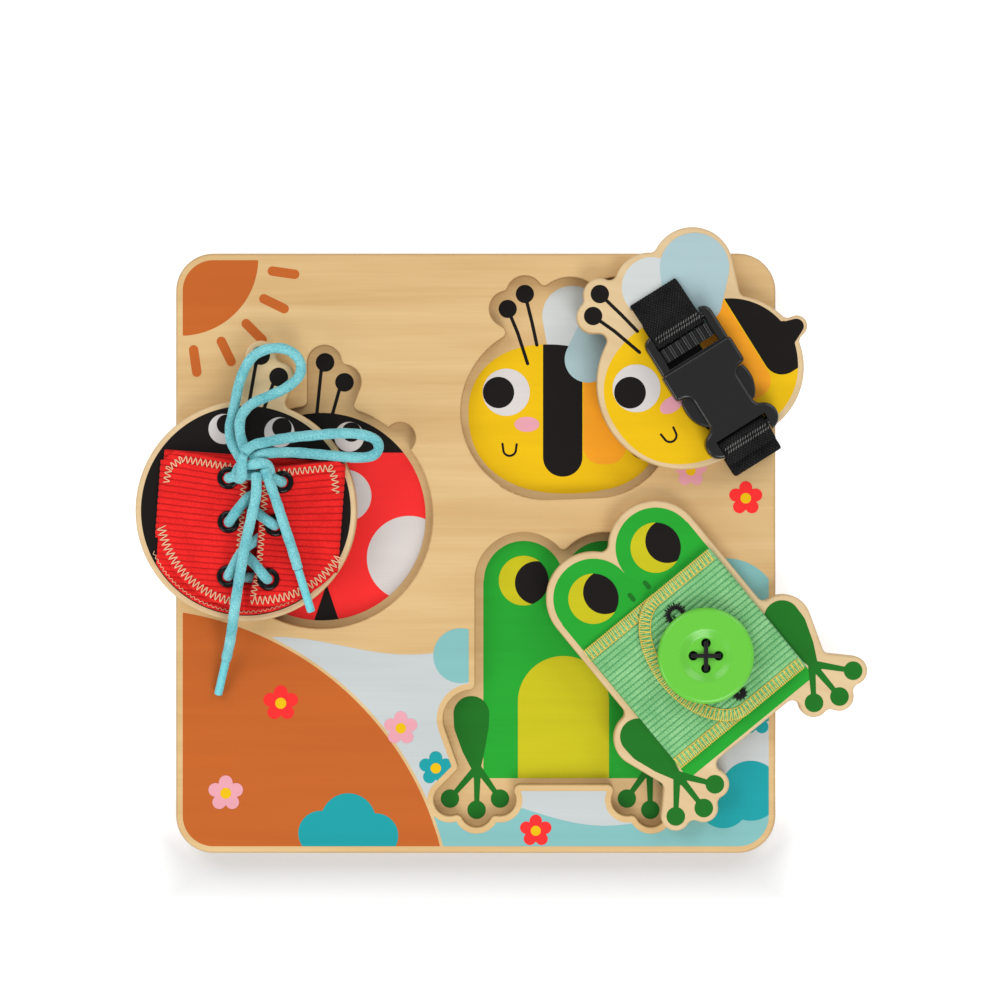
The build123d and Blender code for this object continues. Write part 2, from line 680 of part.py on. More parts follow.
def button_thread():
    """A shank on the cloth, four strands through the holes and the cross that they make on top."""
    under = BUTTON_LIFT - KNIT_T
    spread = BUTTON_HOLE_REACH + THREAD_R
    post = under - SHANK_FLARE_H
    section = Polyline((0, 0), (SHANK_R, 0), (SHANK_R, post), (spread, under), (0, under), close=True)
    solid = revolve(make_face(Plane.XZ * section), Axis.Z)
    dish = under + BUTTON_T - BUTTON_DISH_DEPTH
    for spot in hole_places():
        solid += spot * Pos(0, 0, under - THREAD_LEG_R) * extrude(Circle(THREAD_LEG_R), dish + 2 * THREAD_R - under)
    for turn in (0, 90):
        strand = Rot(0, 90, 0) * Cylinder(THREAD_R, 2 * spread)
        strand = fillet(strand.edges().filter_by(GeomType.CIRCLE), THREAD_END_R)
        solid += Pos(0, 0, dish + THREAD_R) * Rot(0, 0, turn) * strand
    return solid


# Assembly
def board_nodes():
    return {"base_panel": base_panel(), "frame_panel": frame_panel()}


def ladybird_nodes():
    low = placed(LADYBIRD_PLACE, PLATE_Z)
    top = placed(LADYBIRD_PLACE, PLATE_TOP)
    nodes = {"ladybird_plate": low * plate(ladybird_outline()), "vest_back": top * vest_back()}
    for side, hand in ((-1, "left"), (1, "right")):
        nodes[f"vest_{hand}_flap"] = top * vest_flap(side)
        for row, level in enumerate(("top", "middle", "bottom")):
            nodes[f"eyelet_{level}_{hand}"] = top * eyelet_seat(side, row) * eyelet(side)
    for name, route in (
        ("lace_lacing", LACING_ROUTE),
        ("lace_upper_loop", UPPER_LOOP_ROUTE),
        ("lace_right_loop", RIGHT_LOOP_ROUTE),
        ("lace_left_tail", LEFT_TAIL_ROUTE),
        ("lace_right_tail", RIGHT_TAIL_ROUTE),
    ):
        nodes[name] = top * tube(name, route, LACE_D)
    nodes["lace_knot"] = top * lace_knot()
    nodes["aglet_left"] = top * aglet(LEFT_TAIL_ROUTE[-1], LEFT_AGLET_TIP)
    nodes["aglet_right"] = top * aglet(RIGHT_TAIL_ROUTE[-1], RIGHT_AGLET_TIP)
    return nodes


def bee_nodes():
    top = placed(BEE_PLACE, PLATE_TOP)
    return {
        "bee_plate": placed(BEE_PLACE, PLATE_Z) * bee_plate(),
        "upper_strap": top * upper_strap(),
        "lower_strap": top * lower_strap(),
        "buckle_plug": top * buckle_placed(buckle_plug()),
        "buckle_socket": top * buckle_placed(buckle_socket()),
        "latch_left": top * buckle_placed(latch(1)),
        "latch_right": top * buckle_placed(latch(-1)),
    }


def frog_nodes():
    top = placed(FROG_PLACE, PLATE_TOP)
    spot = Pos(*BUTTON_PLACE) * Rot(0, 0, -FROG_PLACE[2])
    return {
        "frog_plate": placed(FROG_PLACE, PLATE_Z) * plate(frog_outline()),
        "knit_panel": top * knit_panel(),
        "knit_flap": top * knit_flap(),
        "button": top * spot * Pos(0, 0, BUTTON_LIFT) * button(),
        "button_thread": top * spot * Pos(0, 0, KNIT_T) * button_thread(),
    }


def main():
    os.makedirs("parts", exist_ok=True)
    nodes = {**board_nodes(), **ladybird_nodes(), **bee_nodes(), **frog_nodes()}
    for name, shape in nodes.items():
        export_step(shape, f"parts/{name}.step")
    print(len(nodes), "nodes written")


main()
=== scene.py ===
# %% [markdown]
# # A wooden lacing board
#
# The real object is a square wooden board with three animal-shaped recesses. A ladybird, a bee and a frog lift out of
# them, and each wears one fastening to practise: a laced vest, a strap with a buckle, and a buttoned knit. The solid
# model is loaded first as a fixed frame. Everything after it adds the surfaces that solids alone can't show: ink,
# wood grain, braid, corduroy, webbing and knit.

import math

import bmesh
import bpy
import numpy as np
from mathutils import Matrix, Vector
from mathutils.geometry import delaunay_2d_cdt


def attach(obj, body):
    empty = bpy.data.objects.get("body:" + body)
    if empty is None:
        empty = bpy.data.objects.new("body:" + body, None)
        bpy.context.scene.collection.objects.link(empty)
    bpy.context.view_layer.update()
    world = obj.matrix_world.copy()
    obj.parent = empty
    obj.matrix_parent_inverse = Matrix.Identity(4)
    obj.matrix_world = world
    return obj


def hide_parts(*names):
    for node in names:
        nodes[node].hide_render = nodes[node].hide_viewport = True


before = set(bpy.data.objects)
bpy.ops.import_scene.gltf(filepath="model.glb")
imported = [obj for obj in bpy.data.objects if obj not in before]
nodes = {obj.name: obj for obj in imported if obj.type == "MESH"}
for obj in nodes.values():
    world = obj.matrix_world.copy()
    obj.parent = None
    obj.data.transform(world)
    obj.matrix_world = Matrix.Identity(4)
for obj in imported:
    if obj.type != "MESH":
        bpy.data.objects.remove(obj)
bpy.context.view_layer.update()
scene = bpy.context.scene
print("nodes in the frame:", len(nodes))

# %% [markdown]
# ## Where things are
#
# Each plate has its own small frame: the ladybird's is in the middle of its body, the bee's on its eye, and the frog's
# between its eyes. A spot is that frame's x, y and turn on the board. Working in millimetres inside those frames keeps
# the numbers readable, and one function turns them into metres on the board.

# %% Spots, heights and the way from a plate's frame to the board
MM = 0.001
PLATES = {"ladybird": (-91.3, 17.0, -4.2), "bee": (64.0, 65.6, 32.0), "frog": (59.2, -7.8, 39.4)}
RECESSES = {"ladybird": (-61.9, 14.6, 0.0), "bee": (12.2, 64.5, 0.0), "frog": (35.2, -11.1, 0.0)}
BOARD = (0.0, 0.0, 0.0)
BOARD_HALF = 120.0
BOARD_CORNER_R = 15.0
RECESS_FLOOR = 4.0
BOARD_TOP = 10.0
PLATE_TOP = 18.0


def put(points, spot, height):
    """Turns local points about Z by the spot's angle, moves them there and raises them, from mm to metres."""
    p = np.asarray(points, float)
    turn = math.radians(spot[2])
    x = spot[0] + p[..., 0] * math.cos(turn) - p[..., 1] * math.sin(turn)
    y = spot[1] + p[..., 0] * math.sin(turn) + p[..., 1] * math.cos(turn)
    return np.stack([x, y, p[..., 2] + height], axis=-1) * MM


print("plates:", PLATES)

# %% [markdown]
# ## Making a mesh from arrays
#
# Every new piece is a grid of points, so a mesh needs only its points, its faces and, where a pattern follows the
# surface, a UV for each point. Faces come from index arithmetic on the grid, with no loop over points.


# %% Mesh helpers
def grid_faces(rows, cols, wrap_cols=False):
    """Quads of a rows x cols grid, numbered row by row; wrapping joins the last column to the first."""
    i = np.arange(rows - 1)[:, None]
    j = np.arange(cols if wrap_cols else cols - 1)[None, :]
    k = (j + 1) % cols
    quad = np.stack([i * cols + j, i * cols + k, (i + 1) * cols + k, (i + 1) * cols + j], axis=-1)
    return quad.reshape(-1, 4)


def add_piece(name, points, faces, body, finish, uv=None, smooth=True):
    """Puts points and faces into a new mesh object that rides on a body and takes a finish."""
    mesh = bpy.data.meshes.new(name)
    mesh.from_pydata(np.asarray(points, float).reshape(-1, 3).tolist(), [], [list(f) for f in faces])
    mesh.validate()
    skin = bmesh.new()
    skin.from_mesh(mesh)
    bmesh.ops.recalc_face_normals(skin, faces=skin.faces)
    skin.to_mesh(mesh)
    skin.free()
    if uv is not None:
        corner = np.empty(len(mesh.loops), np.int32)
        mesh.loops.foreach_get("vertex_index", corner)
        mesh.uv_layers.new(name="UVMap").data.foreach_set("uv", np.asarray(uv, float).reshape(-1, 2)[corner].ravel())
    mesh.polygons.foreach_set("use_smooth", np.full(len(mesh.polygons), smooth))
    mesh.materials.append(finish)
    obj = bpy.data.objects.new(name, mesh)
    scene.collection.objects.link(obj)
    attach(obj, body)
    return obj


def dress(name, points, faces, body, slot, finish, uv=None):
    """A piece worked out in its plate's own frame, above the plate's top."""
    return add_piece(name, put(points, PLATES[body], PLATE_TOP), faces, body, finish, uv)


def join_parts(parts):
    """Stacks several pairs of points and quads into one pair by shifting each part's indices."""
    counts = np.cumsum([0] + [len(points) for points, _ in parts])
    quads = [faces + start for (_, faces), start in zip(parts, counts)]
    return np.concatenate([points for points, _ in parts]), np.concatenate(quads)


# %% [markdown]
# ## Finishes
#
# A finish is a Principled shader with a few textures in front of it. Wood grain and the fine unevenness of cloth are
# used by several finishes, so each is a node group with its own inputs. All patterns read Object coordinates or the
# piece's own UV, so they stay put when a plate is lifted. Wood is painted darker where its surface turns away from the
# top, a painted shade on its sides, and ribbed cloth is painted darker in its grooves, a painted shade that follows its
# relief.


# %% Node helpers
def add_node(tree, kind, settings=(), **sockets):
    """Adds a node, sets its properties, and fills its inputs with values or links. An input goes by its name, or by i
    and its number where several share a name."""
    made = tree.nodes.new(kind)
    for key, value in dict(settings).items():
        setattr(made, key, value)
    for key, value in sockets.items():
        numbered = key[0] == "i" and key[1:].isdigit()
        socket = made.inputs[int(key[1:]) if numbered else key.replace("_", " ")]
        if isinstance(value, bpy.types.NodeSocket):
            tree.links.new(value, socket)
        else:
            socket.default_value = value
    return made


def calc(tree, operation, *values, **settings):
    """A Math node on one to three values; gives its output."""
    sockets = {f"i{k}": value for k, value in enumerate(values)}
    return add_node(tree, "ShaderNodeMath", {"operation": operation, **settings}, **sockets).outputs[0]


def spread(tree, value, low, high, curve="LINEAR"):
    """A Map Range node that gives 0 at the low value and 1 at the high one."""
    sockets = {"Value": value, "From_Min": low, "From_Max": high}
    return add_node(tree, "ShaderNodeMapRange", {"interpolation_type": curve}, **sockets).outputs[0]


def blend(tree, share, first, second, kind="MIX"):
    """A Mix node from a first colour to a second; gives its output."""
    settings = {"data_type": "RGBA", "blend_type": kind}
    return add_node(tree, "ShaderNodeMix", settings, Factor=share, i6=first, i7=second).outputs[2]


def noise(tree, vector, scale, **settings):
    """The value of a Noise texture."""
    return add_node(tree, "ShaderNodeTexNoise", Vector=vector, Scale=scale, **settings).outputs[0]


def bump(tree, shader, height, strength, depth):
    """Puts a bump of a height on the shader's normal."""
    bumped = add_node(tree, "ShaderNodeBump", Height=height, Strength=strength, Distance=depth)
    tree.links.new(bumped.outputs[0], shader.inputs["Normal"])


def srgb(r, g, b):
    """A colour written as 0 to 255 on screen, as the linear value that shaders use."""
    c = np.array([r, g, b], float) / 255
    lin = np.where(c <= 0.04045, c / 12.92, ((c + 0.055) / 1.055) ** 2.4)
    return (*lin.tolist(), 1.0)


# %% Groups and materials
SOCKETS = {type(None): "NodeSocketVector", tuple: "NodeSocketColor", float: "NodeSocketFloat"}


def new_group(name, **inputs):
    """An empty shader node group that puts out a colour and a height. An input's default tells its kind: none for a
    vector, four numbers for a colour, one for a value."""
    tree = bpy.data.node_groups.new(name, "ShaderNodeTree")
    for label, default in inputs.items():
        socket = tree.interface.new_socket(label, in_out="INPUT", socket_type=SOCKETS[type(default)])
        if default is not None:
            socket.default_value = default
    for label, kind in (("Color", tuple), ("Height", float)):
        tree.interface.new_socket(label, in_out="OUTPUT", socket_type=SOCKETS[kind])
    return tree, tree.nodes.new("NodeGroupInput"), tree.nodes.new("NodeGroupOutput")


def new_finish(name, roughness, **plain):
    """A material with its Principled shader ready; plain values sit on the shader's own sockets."""
    finish = bpy.data.materials.new(name)
    finish.use_nodes = True
    tree = finish.node_tree
    shader = tree.nodes["Principled BSDF"]
    shader.inputs["Roughness"].default_value = roughness
    for key, value in plain.items():
        shader.inputs[key.replace("_", " ")].default_value = value
    return finish, tree, shader


# %% Shared effects
def make_grain_group():
    """Grain: noise stretched along the plank for fibres, and a second, broader one for growth bands."""
    colours = {"Pale": (0.8, 0.6, 0.35, 1), "Dark": (0.6, 0.4, 0.2, 1)}
    tree, inp, out = new_group("wood_grain", Vector=None, **colours, Contrast=1.0)

    def stretched(scale, **settings):
        mapped = add_node(tree, "ShaderNodeMapping", Vector=inp.outputs["Vector"], Scale=scale)
        return noise(tree, mapped.outputs[0], 1.0, **settings)

    fibre = stretched((22.0, 900.0, 300.0), Detail=4.0, Roughness=0.6)
    band = stretched((7.0, 95.0, 60.0), Detail=3.0, Distortion=0.6)
    total = calc(tree, "MULTIPLY_ADD", fibre, 0.3, calc(tree, "MULTIPLY_ADD", band, 0.75, -0.05))
    share = calc(tree, "MULTIPLY", spread(tree, total, 0.3, 0.72), inp.outputs["Contrast"], use_clamp=True)
    tree.links.new(blend(tree, share, inp.outputs["Pale"], inp.outputs["Dark"]), out.inputs["Color"])
    tree.links.new(fibre, out.inputs["Height"])
    return tree


def make_fuzz_group():
    """Fuzz: two sizes of noise that lighten and darken a yarn colour and roughen its surface."""
    colours = {"Colour": (0.5, 0.5, 0.5, 1), "Deep": (0.3, 0.3, 0.3, 1)}
    tree, inp, out = new_group("yarn_fuzz", Vector=None, **colours, Scale=2500.0)
    fine = noise(tree, inp.outputs["Vector"], inp.outputs["Scale"], Detail=4.0, Roughness=0.7)
    wide = noise(tree, inp.outputs["Vector"], 120.0, Detail=2.0)
    total = calc(tree, "MULTIPLY_ADD", fine, 0.75, calc(tree, "MULTIPLY", wide, 0.35))
    share = spread(tree, total, 0.36, 0.72)
    tree.links.new(blend(tree, share, inp.outputs["Deep"], inp.outputs["Colour"]), out.inputs["Color"])
    tree.links.new(fine, out.inputs["Height"])
    return tree


GRAIN = {"node_tree": make_grain_group()}
FUZZ = {"node_tree": make_fuzz_group()}
print("shared effects:", [group.name for group in bpy.data.node_groups])

# %% Wood, ink, cloth and plastic
FIBRE_DEPTH = 0.0002
SKIN_DEPTH = 0.0001
INK_SHADE = 0.9


def wood_finish(name, pale, dark, edge, contrast=1.0, turn=0.0):
    """Bare wood: grain colours from the group, a painted shade where the surface turns away from the top, on the
    sides and edges, and a very shallow bump of its fibres."""
    finish, tree, shader = new_finish(name, 0.55)
    coords = add_node(tree, "ShaderNodeTexCoord")
    mapped = add_node(tree, "ShaderNodeMapping", Vector=coords.outputs["Object"], Rotation=(0, 0, math.radians(turn)))
    colours = {"Pale": pale, "Dark": dark, "Contrast": contrast}
    grain = add_node(tree, "ShaderNodeGroup", GRAIN, Vector=mapped.outputs[0], **colours)
    facing = add_node(tree, "ShaderNodeSeparateXYZ", Vector=coords.outputs["Normal"])
    # Painted shade: the faces that turn away from the top, the sides and edges, are multiplied by the edge colour.
    side = spread(tree, facing.outputs["Z"], 0.95, 0.3)
    tree.links.new(blend(tree, side, grain.outputs["Color"], edge, "MULTIPLY"), shader.inputs["Base Color"])
    bump(tree, shader, grain.outputs["Height"], 0.12, FIBRE_DEPTH)
    return finish


def ink_finish(name, colour):
    """Printing ink on wood: its colour, a little darker along the fibres under it, with a thin satin varnish."""
    finish, tree, shader = new_finish(name, 0.45, Specular_IOR_Level=0.16)
    coords = add_node(tree, "ShaderNodeTexCoord")
    deep = tuple(c * INK_SHADE for c in colour[:3]) + (1.0,)
    grain = add_node(tree, "ShaderNodeGroup", GRAIN, Vector=coords.outputs["Object"], Pale=colour, Dark=deep)
    tree.links.new(grain.outputs["Color"], shader.inputs["Base Color"])
    bump(tree, shader, grain.outputs["Height"], 0.06, FIBRE_DEPTH)
    return finish


def yarn_finish(name, colour, deep, scale, depth=0.0002, roughness=0.85, sheen=0.1, groove_shade=None, reach=0.5):
    """Yarn or cloth: fuzz in colour and surface, with a soft sheen. Cloth with relief keeps its height in the weave as
    its UV's u, and takes a painted shade, the groove's colour, where that is below the reach."""
    soft = {"Sheen_Weight": sheen, "Sheen_Roughness": 0.5, "Specular_IOR_Level": 0.15}
    finish, tree, shader = new_finish(name, roughness, **soft)
    coords = add_node(tree, "ShaderNodeTexCoord")
    yarn = {"Colour": srgb(*colour), "Deep": srgb(*deep), "Scale": scale}
    fuzz = add_node(tree, "ShaderNodeGroup", FUZZ, Vector=coords.outputs["Object"], **yarn)
    shown = fuzz.outputs["Color"]
    if groove_shade:
        # Painted shade: the cloth turns to the groove's colour where its height in the weave is low.
        weave = add_node(tree, "ShaderNodeSeparateXYZ", Vector=coords.outputs["UV"])
        shown = blend(tree, spread(tree, weave.outputs["X"], 0.0, reach, "SMOOTHSTEP"), srgb(*groove_shade), shown)
    tree.links.new(shown, shader.inputs["Base Color"])
    bump(tree, shader, fuzz.outputs["Height"], 0.6, depth)
    return finish


def plastic_finish(name, colour, roughness, grain_scale, strength, gloss=0.5):
    """Moulded plastic: one colour, with its fine moulded skin as a shallow bump and in the roughness."""
    finish, tree, shader = new_finish(name, roughness, Base_Color=srgb(*colour), Specular_IOR_Level=gloss)
    coords = add_node(tree, "ShaderNodeTexCoord")
    skin = noise(tree, coords.outputs["Object"], grain_scale, Detail=3.0)
    limits = {"To_Min": roughness - 0.06, "To_Max": roughness + 0.08}
    rough = add_node(tree, "ShaderNodeMapRange", Value=skin, **limits)
    tree.links.new(rough.outputs[0], shader.inputs["Roughness"])
    bump(tree, shader, skin, strength, SKIN_DEPTH)
    return finish


# %% The object's own finishes
# Each wood's last colour is the painted shade on its sides; the plates take a lighter one.
BOARD_WOOD = wood_finish("board_wood", srgb(219, 186, 132), srgb(201, 161, 104), (0.66, 0.6, 0.54, 1))
PLATE_WOOD = wood_finish("plate_wood", srgb(220, 194, 149), srgb(204, 169, 121), (0.86, 0.82, 0.76, 1), 0.8, 20)
# The groove colours of the corduroy, lace, webbing and knit are painted shade in their hollows.
CORDUROY = yarn_finish(
    "red_corduroy", (247, 40, 38), (202, 22, 21), 1500.0, sheen=0.04, groove_shade=(176, 16, 18), reach=0.6
)
LACE_YARN = yarn_finish(
    "turquoise_lace", (152, 221, 225), (72, 160, 171), 1300.0, 0.0004, groove_shade=(88, 182, 192), reach=0.4
)
LACE_TIP = yarn_finish("sealed_lace", (134, 216, 222), (84, 180, 192), 1300.0, 0.0001, 0.5)
WEBBING_YARN = yarn_finish("black_webbing", (46, 46, 46), (8, 8, 8), 1300.0, 0.0004, 0.95, 0.0, (4, 4, 4), 0.8)
KNIT_YARN = yarn_finish(
    "green_knit", (158, 213, 152), (92, 167, 101), 1700.0, 0.0003, groove_shade=(72, 148, 92), reach=0.55
)
THREADS = {
    name: yarn_finish(name + "_thread", colour, deep, scale, 0.0001)
    for name, colour, deep, scale in (
        ("cream", (244, 214, 180), (220, 176, 130), 4000.0),
        ("grey", (126, 126, 124), (70, 70, 69), 2500.0),
        ("yellow", (240, 220, 116), (220, 192, 80), 4000.0),
        ("ochre", (232, 204, 92), (212, 174, 60), 4000.0),
        ("black", (38, 36, 38), (14, 14, 15), 4000.0),
    )
}
EYELET_ENAMEL = plastic_finish("black_enamel", (9, 9, 10), 0.08, 900.0, 0.01, 0.22)
BUCKLE_PLASTIC = plastic_finish("black_plastic", (19, 19, 20), 0.29, 2600.0, 0.06, 0.45)
BUTTON_PLASTIC = plastic_finish("green_plastic", (100, 196, 56), 0.26, 300.0, 0.01)
print("finishes:", len(bpy.data.materials))

# %% Finishes on the solids that stay
KEPT = {
    BOARD_WOOD: ("base_panel", "frame_panel"),
    PLATE_WOOD: ("ladybird_plate", "bee_plate", "frog_plate"),
    EYELET_ENAMEL: tuple(f"eyelet_{row}_{hand}" for row in ("top", "middle", "bottom") for hand in ("left", "right")),
    BUCKLE_PLASTIC: ("buckle_socket", "buckle_plug", "latch_left", "latch_right"),
    BUTTON_PLASTIC: ("button",),
    THREADS["black"]: ("button_thread",),
    LACE_TIP: ("aglet_left", "aglet_right"),
}
for finish, names in KEPT.items():
    for name in names:
        nodes[name].data.materials.clear()
        nodes[name].data.materials.append(finish)
print("solids kept:", sum(len(names) for names in KEPT.values()))

# %% [markdown]
# ## Camera, light and floor
#
# The photograph looks straight down with a long lens, and the picture is 400 mm wide at the board's face. A large soft
# light stands towards the viewer's side, so shadows fall away from it, and two weaker ones fill them from the far
# corners. A small low one on the left draws the bright line on the buckle's rails. Nothing bright hangs straight
# above, where a glossy black would mirror it.

# %% Camera
PICTURE_W = 400.0
CAMERA_HEIGHT = 1250.0
PICTURE_MIDDLE = (9.7, 21.3)
SENSOR_W = 36.0
camera_data = bpy.data.cameras.new("camera")
camera_data.sensor_width = SENSOR_W
camera_data.lens = SENSOR_W * CAMERA_HEIGHT / PICTURE_W
camera_data.clip_end = 10.0
camera = bpy.data.objects.new("camera", camera_data)
camera.location = np.array([*PICTURE_MIDDLE, BOARD_TOP + CAMERA_HEIGHT]) * MM
scene.collection.objects.link(camera)
scene.camera = camera
print("lens:", round(camera_data.lens, 1), "mm")

# %% Lights and world
LIGHTS = {
    "key": ((0.4, -1.02, 1.1), 0.8, 11.5),
    "left_strip": ((-1.0, -0.62, 0.6), 0.5, 4.0),
    "left_fill": ((-0.85, 0.9, 0.95), 0.9, 7.5),
    "right_fill": ((0.85, 0.95, 0.95), 0.9, 6.0),
}
for name, (place, size, power) in LIGHTS.items():
    light = bpy.data.lights.new(name, "AREA")
    light.size = size
    light.energy = power
    lamp = bpy.data.objects.new(name, light)
    lamp.location = place
    lamp.rotation_euler = (-Vector(place)).to_track_quat("-Z", "Y").to_euler()
    scene.collection.objects.link(lamp)
scene.world = bpy.data.worlds.new("studio")
scene.world.use_nodes = True
background = scene.world.node_tree.nodes["Background"]
background.inputs["Strength"].default_value = 0.45
background.inputs["Color"].default_value = (1, 1, 1, 1)
scene.view_settings.view_transform = "Standard"
print("lights:", list(LIGHTS))

# %% [markdown]
# The floor is white paper. It glows a little, so that it stays white, except in a strip below the board's front edge:
# there only the lamps light it, and the board's soft shadow shows. The strip fades out by the distance from its middle
# line and towards its two ends. Only the camera and reflections see the glow, so it adds no light to the object.

# %% Floor
FLOOR_HALF, FLOOR_Z = 3.0, -0.0002
SHADOW_LINE, SHADOW_REACH = 0.128, 0.04
SHADOW_ENDS = (0.11, 0.16)
FLOOR_GLOW = 0.62
corners = [(x * FLOOR_HALF, y * FLOOR_HALF, FLOOR_Z) for x, y in ((-1, -1), (1, -1), (1, 1), (-1, 1))]
floor_mesh = bpy.data.meshes.new("floor")
floor_mesh.from_pydata(corners, [], [(0, 1, 2, 3)])
floor = bpy.data.objects.new("floor", floor_mesh)
scene.collection.objects.link(floor)
paper, tree, shader = new_finish("white_floor", 0.9, Base_Color=(0.74, 0.74, 0.74, 1), Emission_Color=(1, 1, 1, 1))
coords = add_node(tree, "ShaderNodeTexCoord")
axes = add_node(tree, "ShaderNodeSeparateXYZ", Vector=coords.outputs["Object"])
off_line = calc(tree, "ABSOLUTE", calc(tree, "ADD", axes.outputs["Y"], SHADOW_LINE))
ahead = spread(tree, off_line, 0.0, SHADOW_REACH, "SMOOTHSTEP")
beside = spread(tree, calc(tree, "ABSOLUTE", axes.outputs["X"]), *SHADOW_ENDS, "SMOOTHSTEP")
path = add_node(tree, "ShaderNodeLightPath")
mirrored = calc(tree, "MAXIMUM", path.outputs["Is Glossy Ray"], path.outputs["Is Transmission Ray"])
seen = calc(tree, "MAXIMUM", path.outputs["Is Camera Ray"], mirrored)
glow = calc(tree, "MULTIPLY", calc(tree, "MAXIMUM", ahead, beside), FLOOR_GLOW)
tree.links.new(calc(tree, "MULTIPLY", glow, seen), shader.inputs["Emission Strength"])
floor_mesh.materials.append(paper)
print("floor:", 2 * FLOOR_HALF, "m wide")

# %% [markdown]
# ## The printed pictures
#
# The pictures are ink on wood, with a bare rim round every outline. Each patch of ink is described by a field: a
# formula that is negative inside the patch and measures about how far each point is from its edge. A union is then a
# minimum, an overlap a maximum, and a bare rim is the field plus the rim's width. The edge is found where the field
# changes sign on a fine grid, and filled as a very thin slab, so it stays sharp at any size.


# %% Fields
def disc(x, y, place, radius):
    """Distance to a circle."""
    return np.hypot(x - place[0], y - place[1]) - radius


def oval(x, y, place, rx, ry):
    """About the distance to an ellipse with half axes rx and ry."""
    return (np.hypot((x - place[0]) / rx, (y - place[1]) / ry) - 1) * min(rx, ry)


def oblong(x, y, place, rx, ry, power):
    """About the distance to a superellipse with half axes rx and ry."""
    return ((np.abs(x - place[0]) / rx) ** power + (np.abs(y - place[1]) / ry) ** power) ** (1 / power) * ry - ry


def link(x, y, start, start_r, end, end_r):
    """Distance to two circles and the straight tangents that join them. Along is the way down the axis, out the way
    off it, and both are tilted by the taper to tell which circle or tangent is nearest."""
    dx, dy = end[0] - start[0], end[1] - start[1]
    length = math.hypot(dx, dy)
    along = ((x - start[0]) * dx + (y - start[1]) * dy) / length
    out = np.abs((x - start[0]) * dy - (y - start[1]) * dx) / length
    taper = (start_r - end_r) / length
    tilt = math.sqrt(1 - taper * taper)
    side = tilt * along - taper * out
    side_r = tilt * out + taper * along - start_r
    round_end = np.where(side > tilt * length, np.hypot(along - length, out) - end_r, side_r)
    return np.where(side < 0, np.hypot(along, out) - start_r, round_end)


def slab(x, y, low, high):
    """Distance to a rectangle between two corners."""
    return np.maximum(np.maximum(low[0] - x, x - high[0]), np.maximum(low[1] - y, y - high[1]))


def bow(x, y, place, radius, low, high, width):
    """A line of some width along an arc between two angles, in degrees: the ring, cut to the arc's sector."""
    angle = np.degrees(np.arctan2(y - place[1], x - place[0])) % 360
    middle, half = (low + high) / 2, (high - low) / 2
    off = np.abs((angle - middle + 180) % 360 - 180) - half
    ring = np.abs(np.hypot(x - place[0], y - place[1]) - radius) - width / 2
    return np.maximum(ring, np.radians(off) * radius)


def least(*fields):
    """The union of several patches."""
    return np.minimum.reduce(fields)


def most(*fields):
    """The overlap of several patches."""
    return np.maximum.reduce(fields)


def pair(x, y, left, right, radius):
    """Two circles of one size."""
    return least(disc(x, y, left, radius), disc(x, y, right, radius))


def spoke(place, radius, angle):
    """The point at a radius and an angle from a place."""
    return place[0] + radius * math.cos(angle), place[1] + radius * math.sin(angle)


# %% From a field to a thin slab of ink
CELL_EDGES = {
    1: ((3, 0),), 2: ((0, 1),), 3: ((3, 1),), 4: ((1, 2),), 5: ((3, 0), (1, 2)), 6: ((0, 2),), 7: ((3, 2),),
    8: ((2, 3),), 9: ((2, 0),), 10: ((0, 1), (2, 3)), 11: ((2, 1),), 12: ((1, 3),), 13: ((1, 0),), 14: ((0, 3),),
}


def field_edge(field, box, step):
    """The zero line of a field: where it changes sign along a grid edge there is a point, found by straight
    interpolation, and each grid cell joins the points on its own sides."""
    x = np.arange(box[0], box[1] + step, step)
    y = np.arange(box[2], box[3] + step, step)
    value = field(*np.meshgrid(x, y))
    value = np.where(np.abs(value) < 1e-6, 1e-6, value)
    value[0], value[-1], value[:, 0], value[:, -1] = 1, 1, 1, 1
    inside = value < 0
    flat_r, flat_c = np.nonzero(inside[:, 1:] != inside[:, :-1])
    tall_r, tall_c = np.nonzero(inside[1:] != inside[:-1])
    a, b = value[flat_r, flat_c], value[flat_r, flat_c + 1]
    flat = np.stack([x[flat_c] + step * a / (a - b), y[flat_r]], axis=1)
    a, b = value[tall_r, tall_c], value[tall_r + 1, tall_c]
    tall = np.stack([x[tall_c], y[tall_r] + step * a / (a - b)], axis=1)
    flat_id = np.full((len(y), len(x) - 1), -1)
    flat_id[flat_r, flat_c] = np.arange(len(flat))
    tall_id = np.full((len(y) - 1, len(x)), -1)
    tall_id[tall_r, tall_c] = np.arange(len(tall)) + len(flat)
    sides = np.stack([flat_id[:-1], tall_id[:, 1:], flat_id[1:], tall_id[:, :-1]])
    case = inside[:-1, :-1] * 1 + inside[:-1, 1:] * 2 + inside[1:, 1:] * 4 + inside[1:, :-1] * 8
    pairs = [
        np.stack([sides[p][case == k], sides[q][case == k]], axis=1)
        for k, edges in CELL_EDGES.items()
        for p, q in edges
    ]
    return np.concatenate([flat, tall]), np.concatenate(pairs)


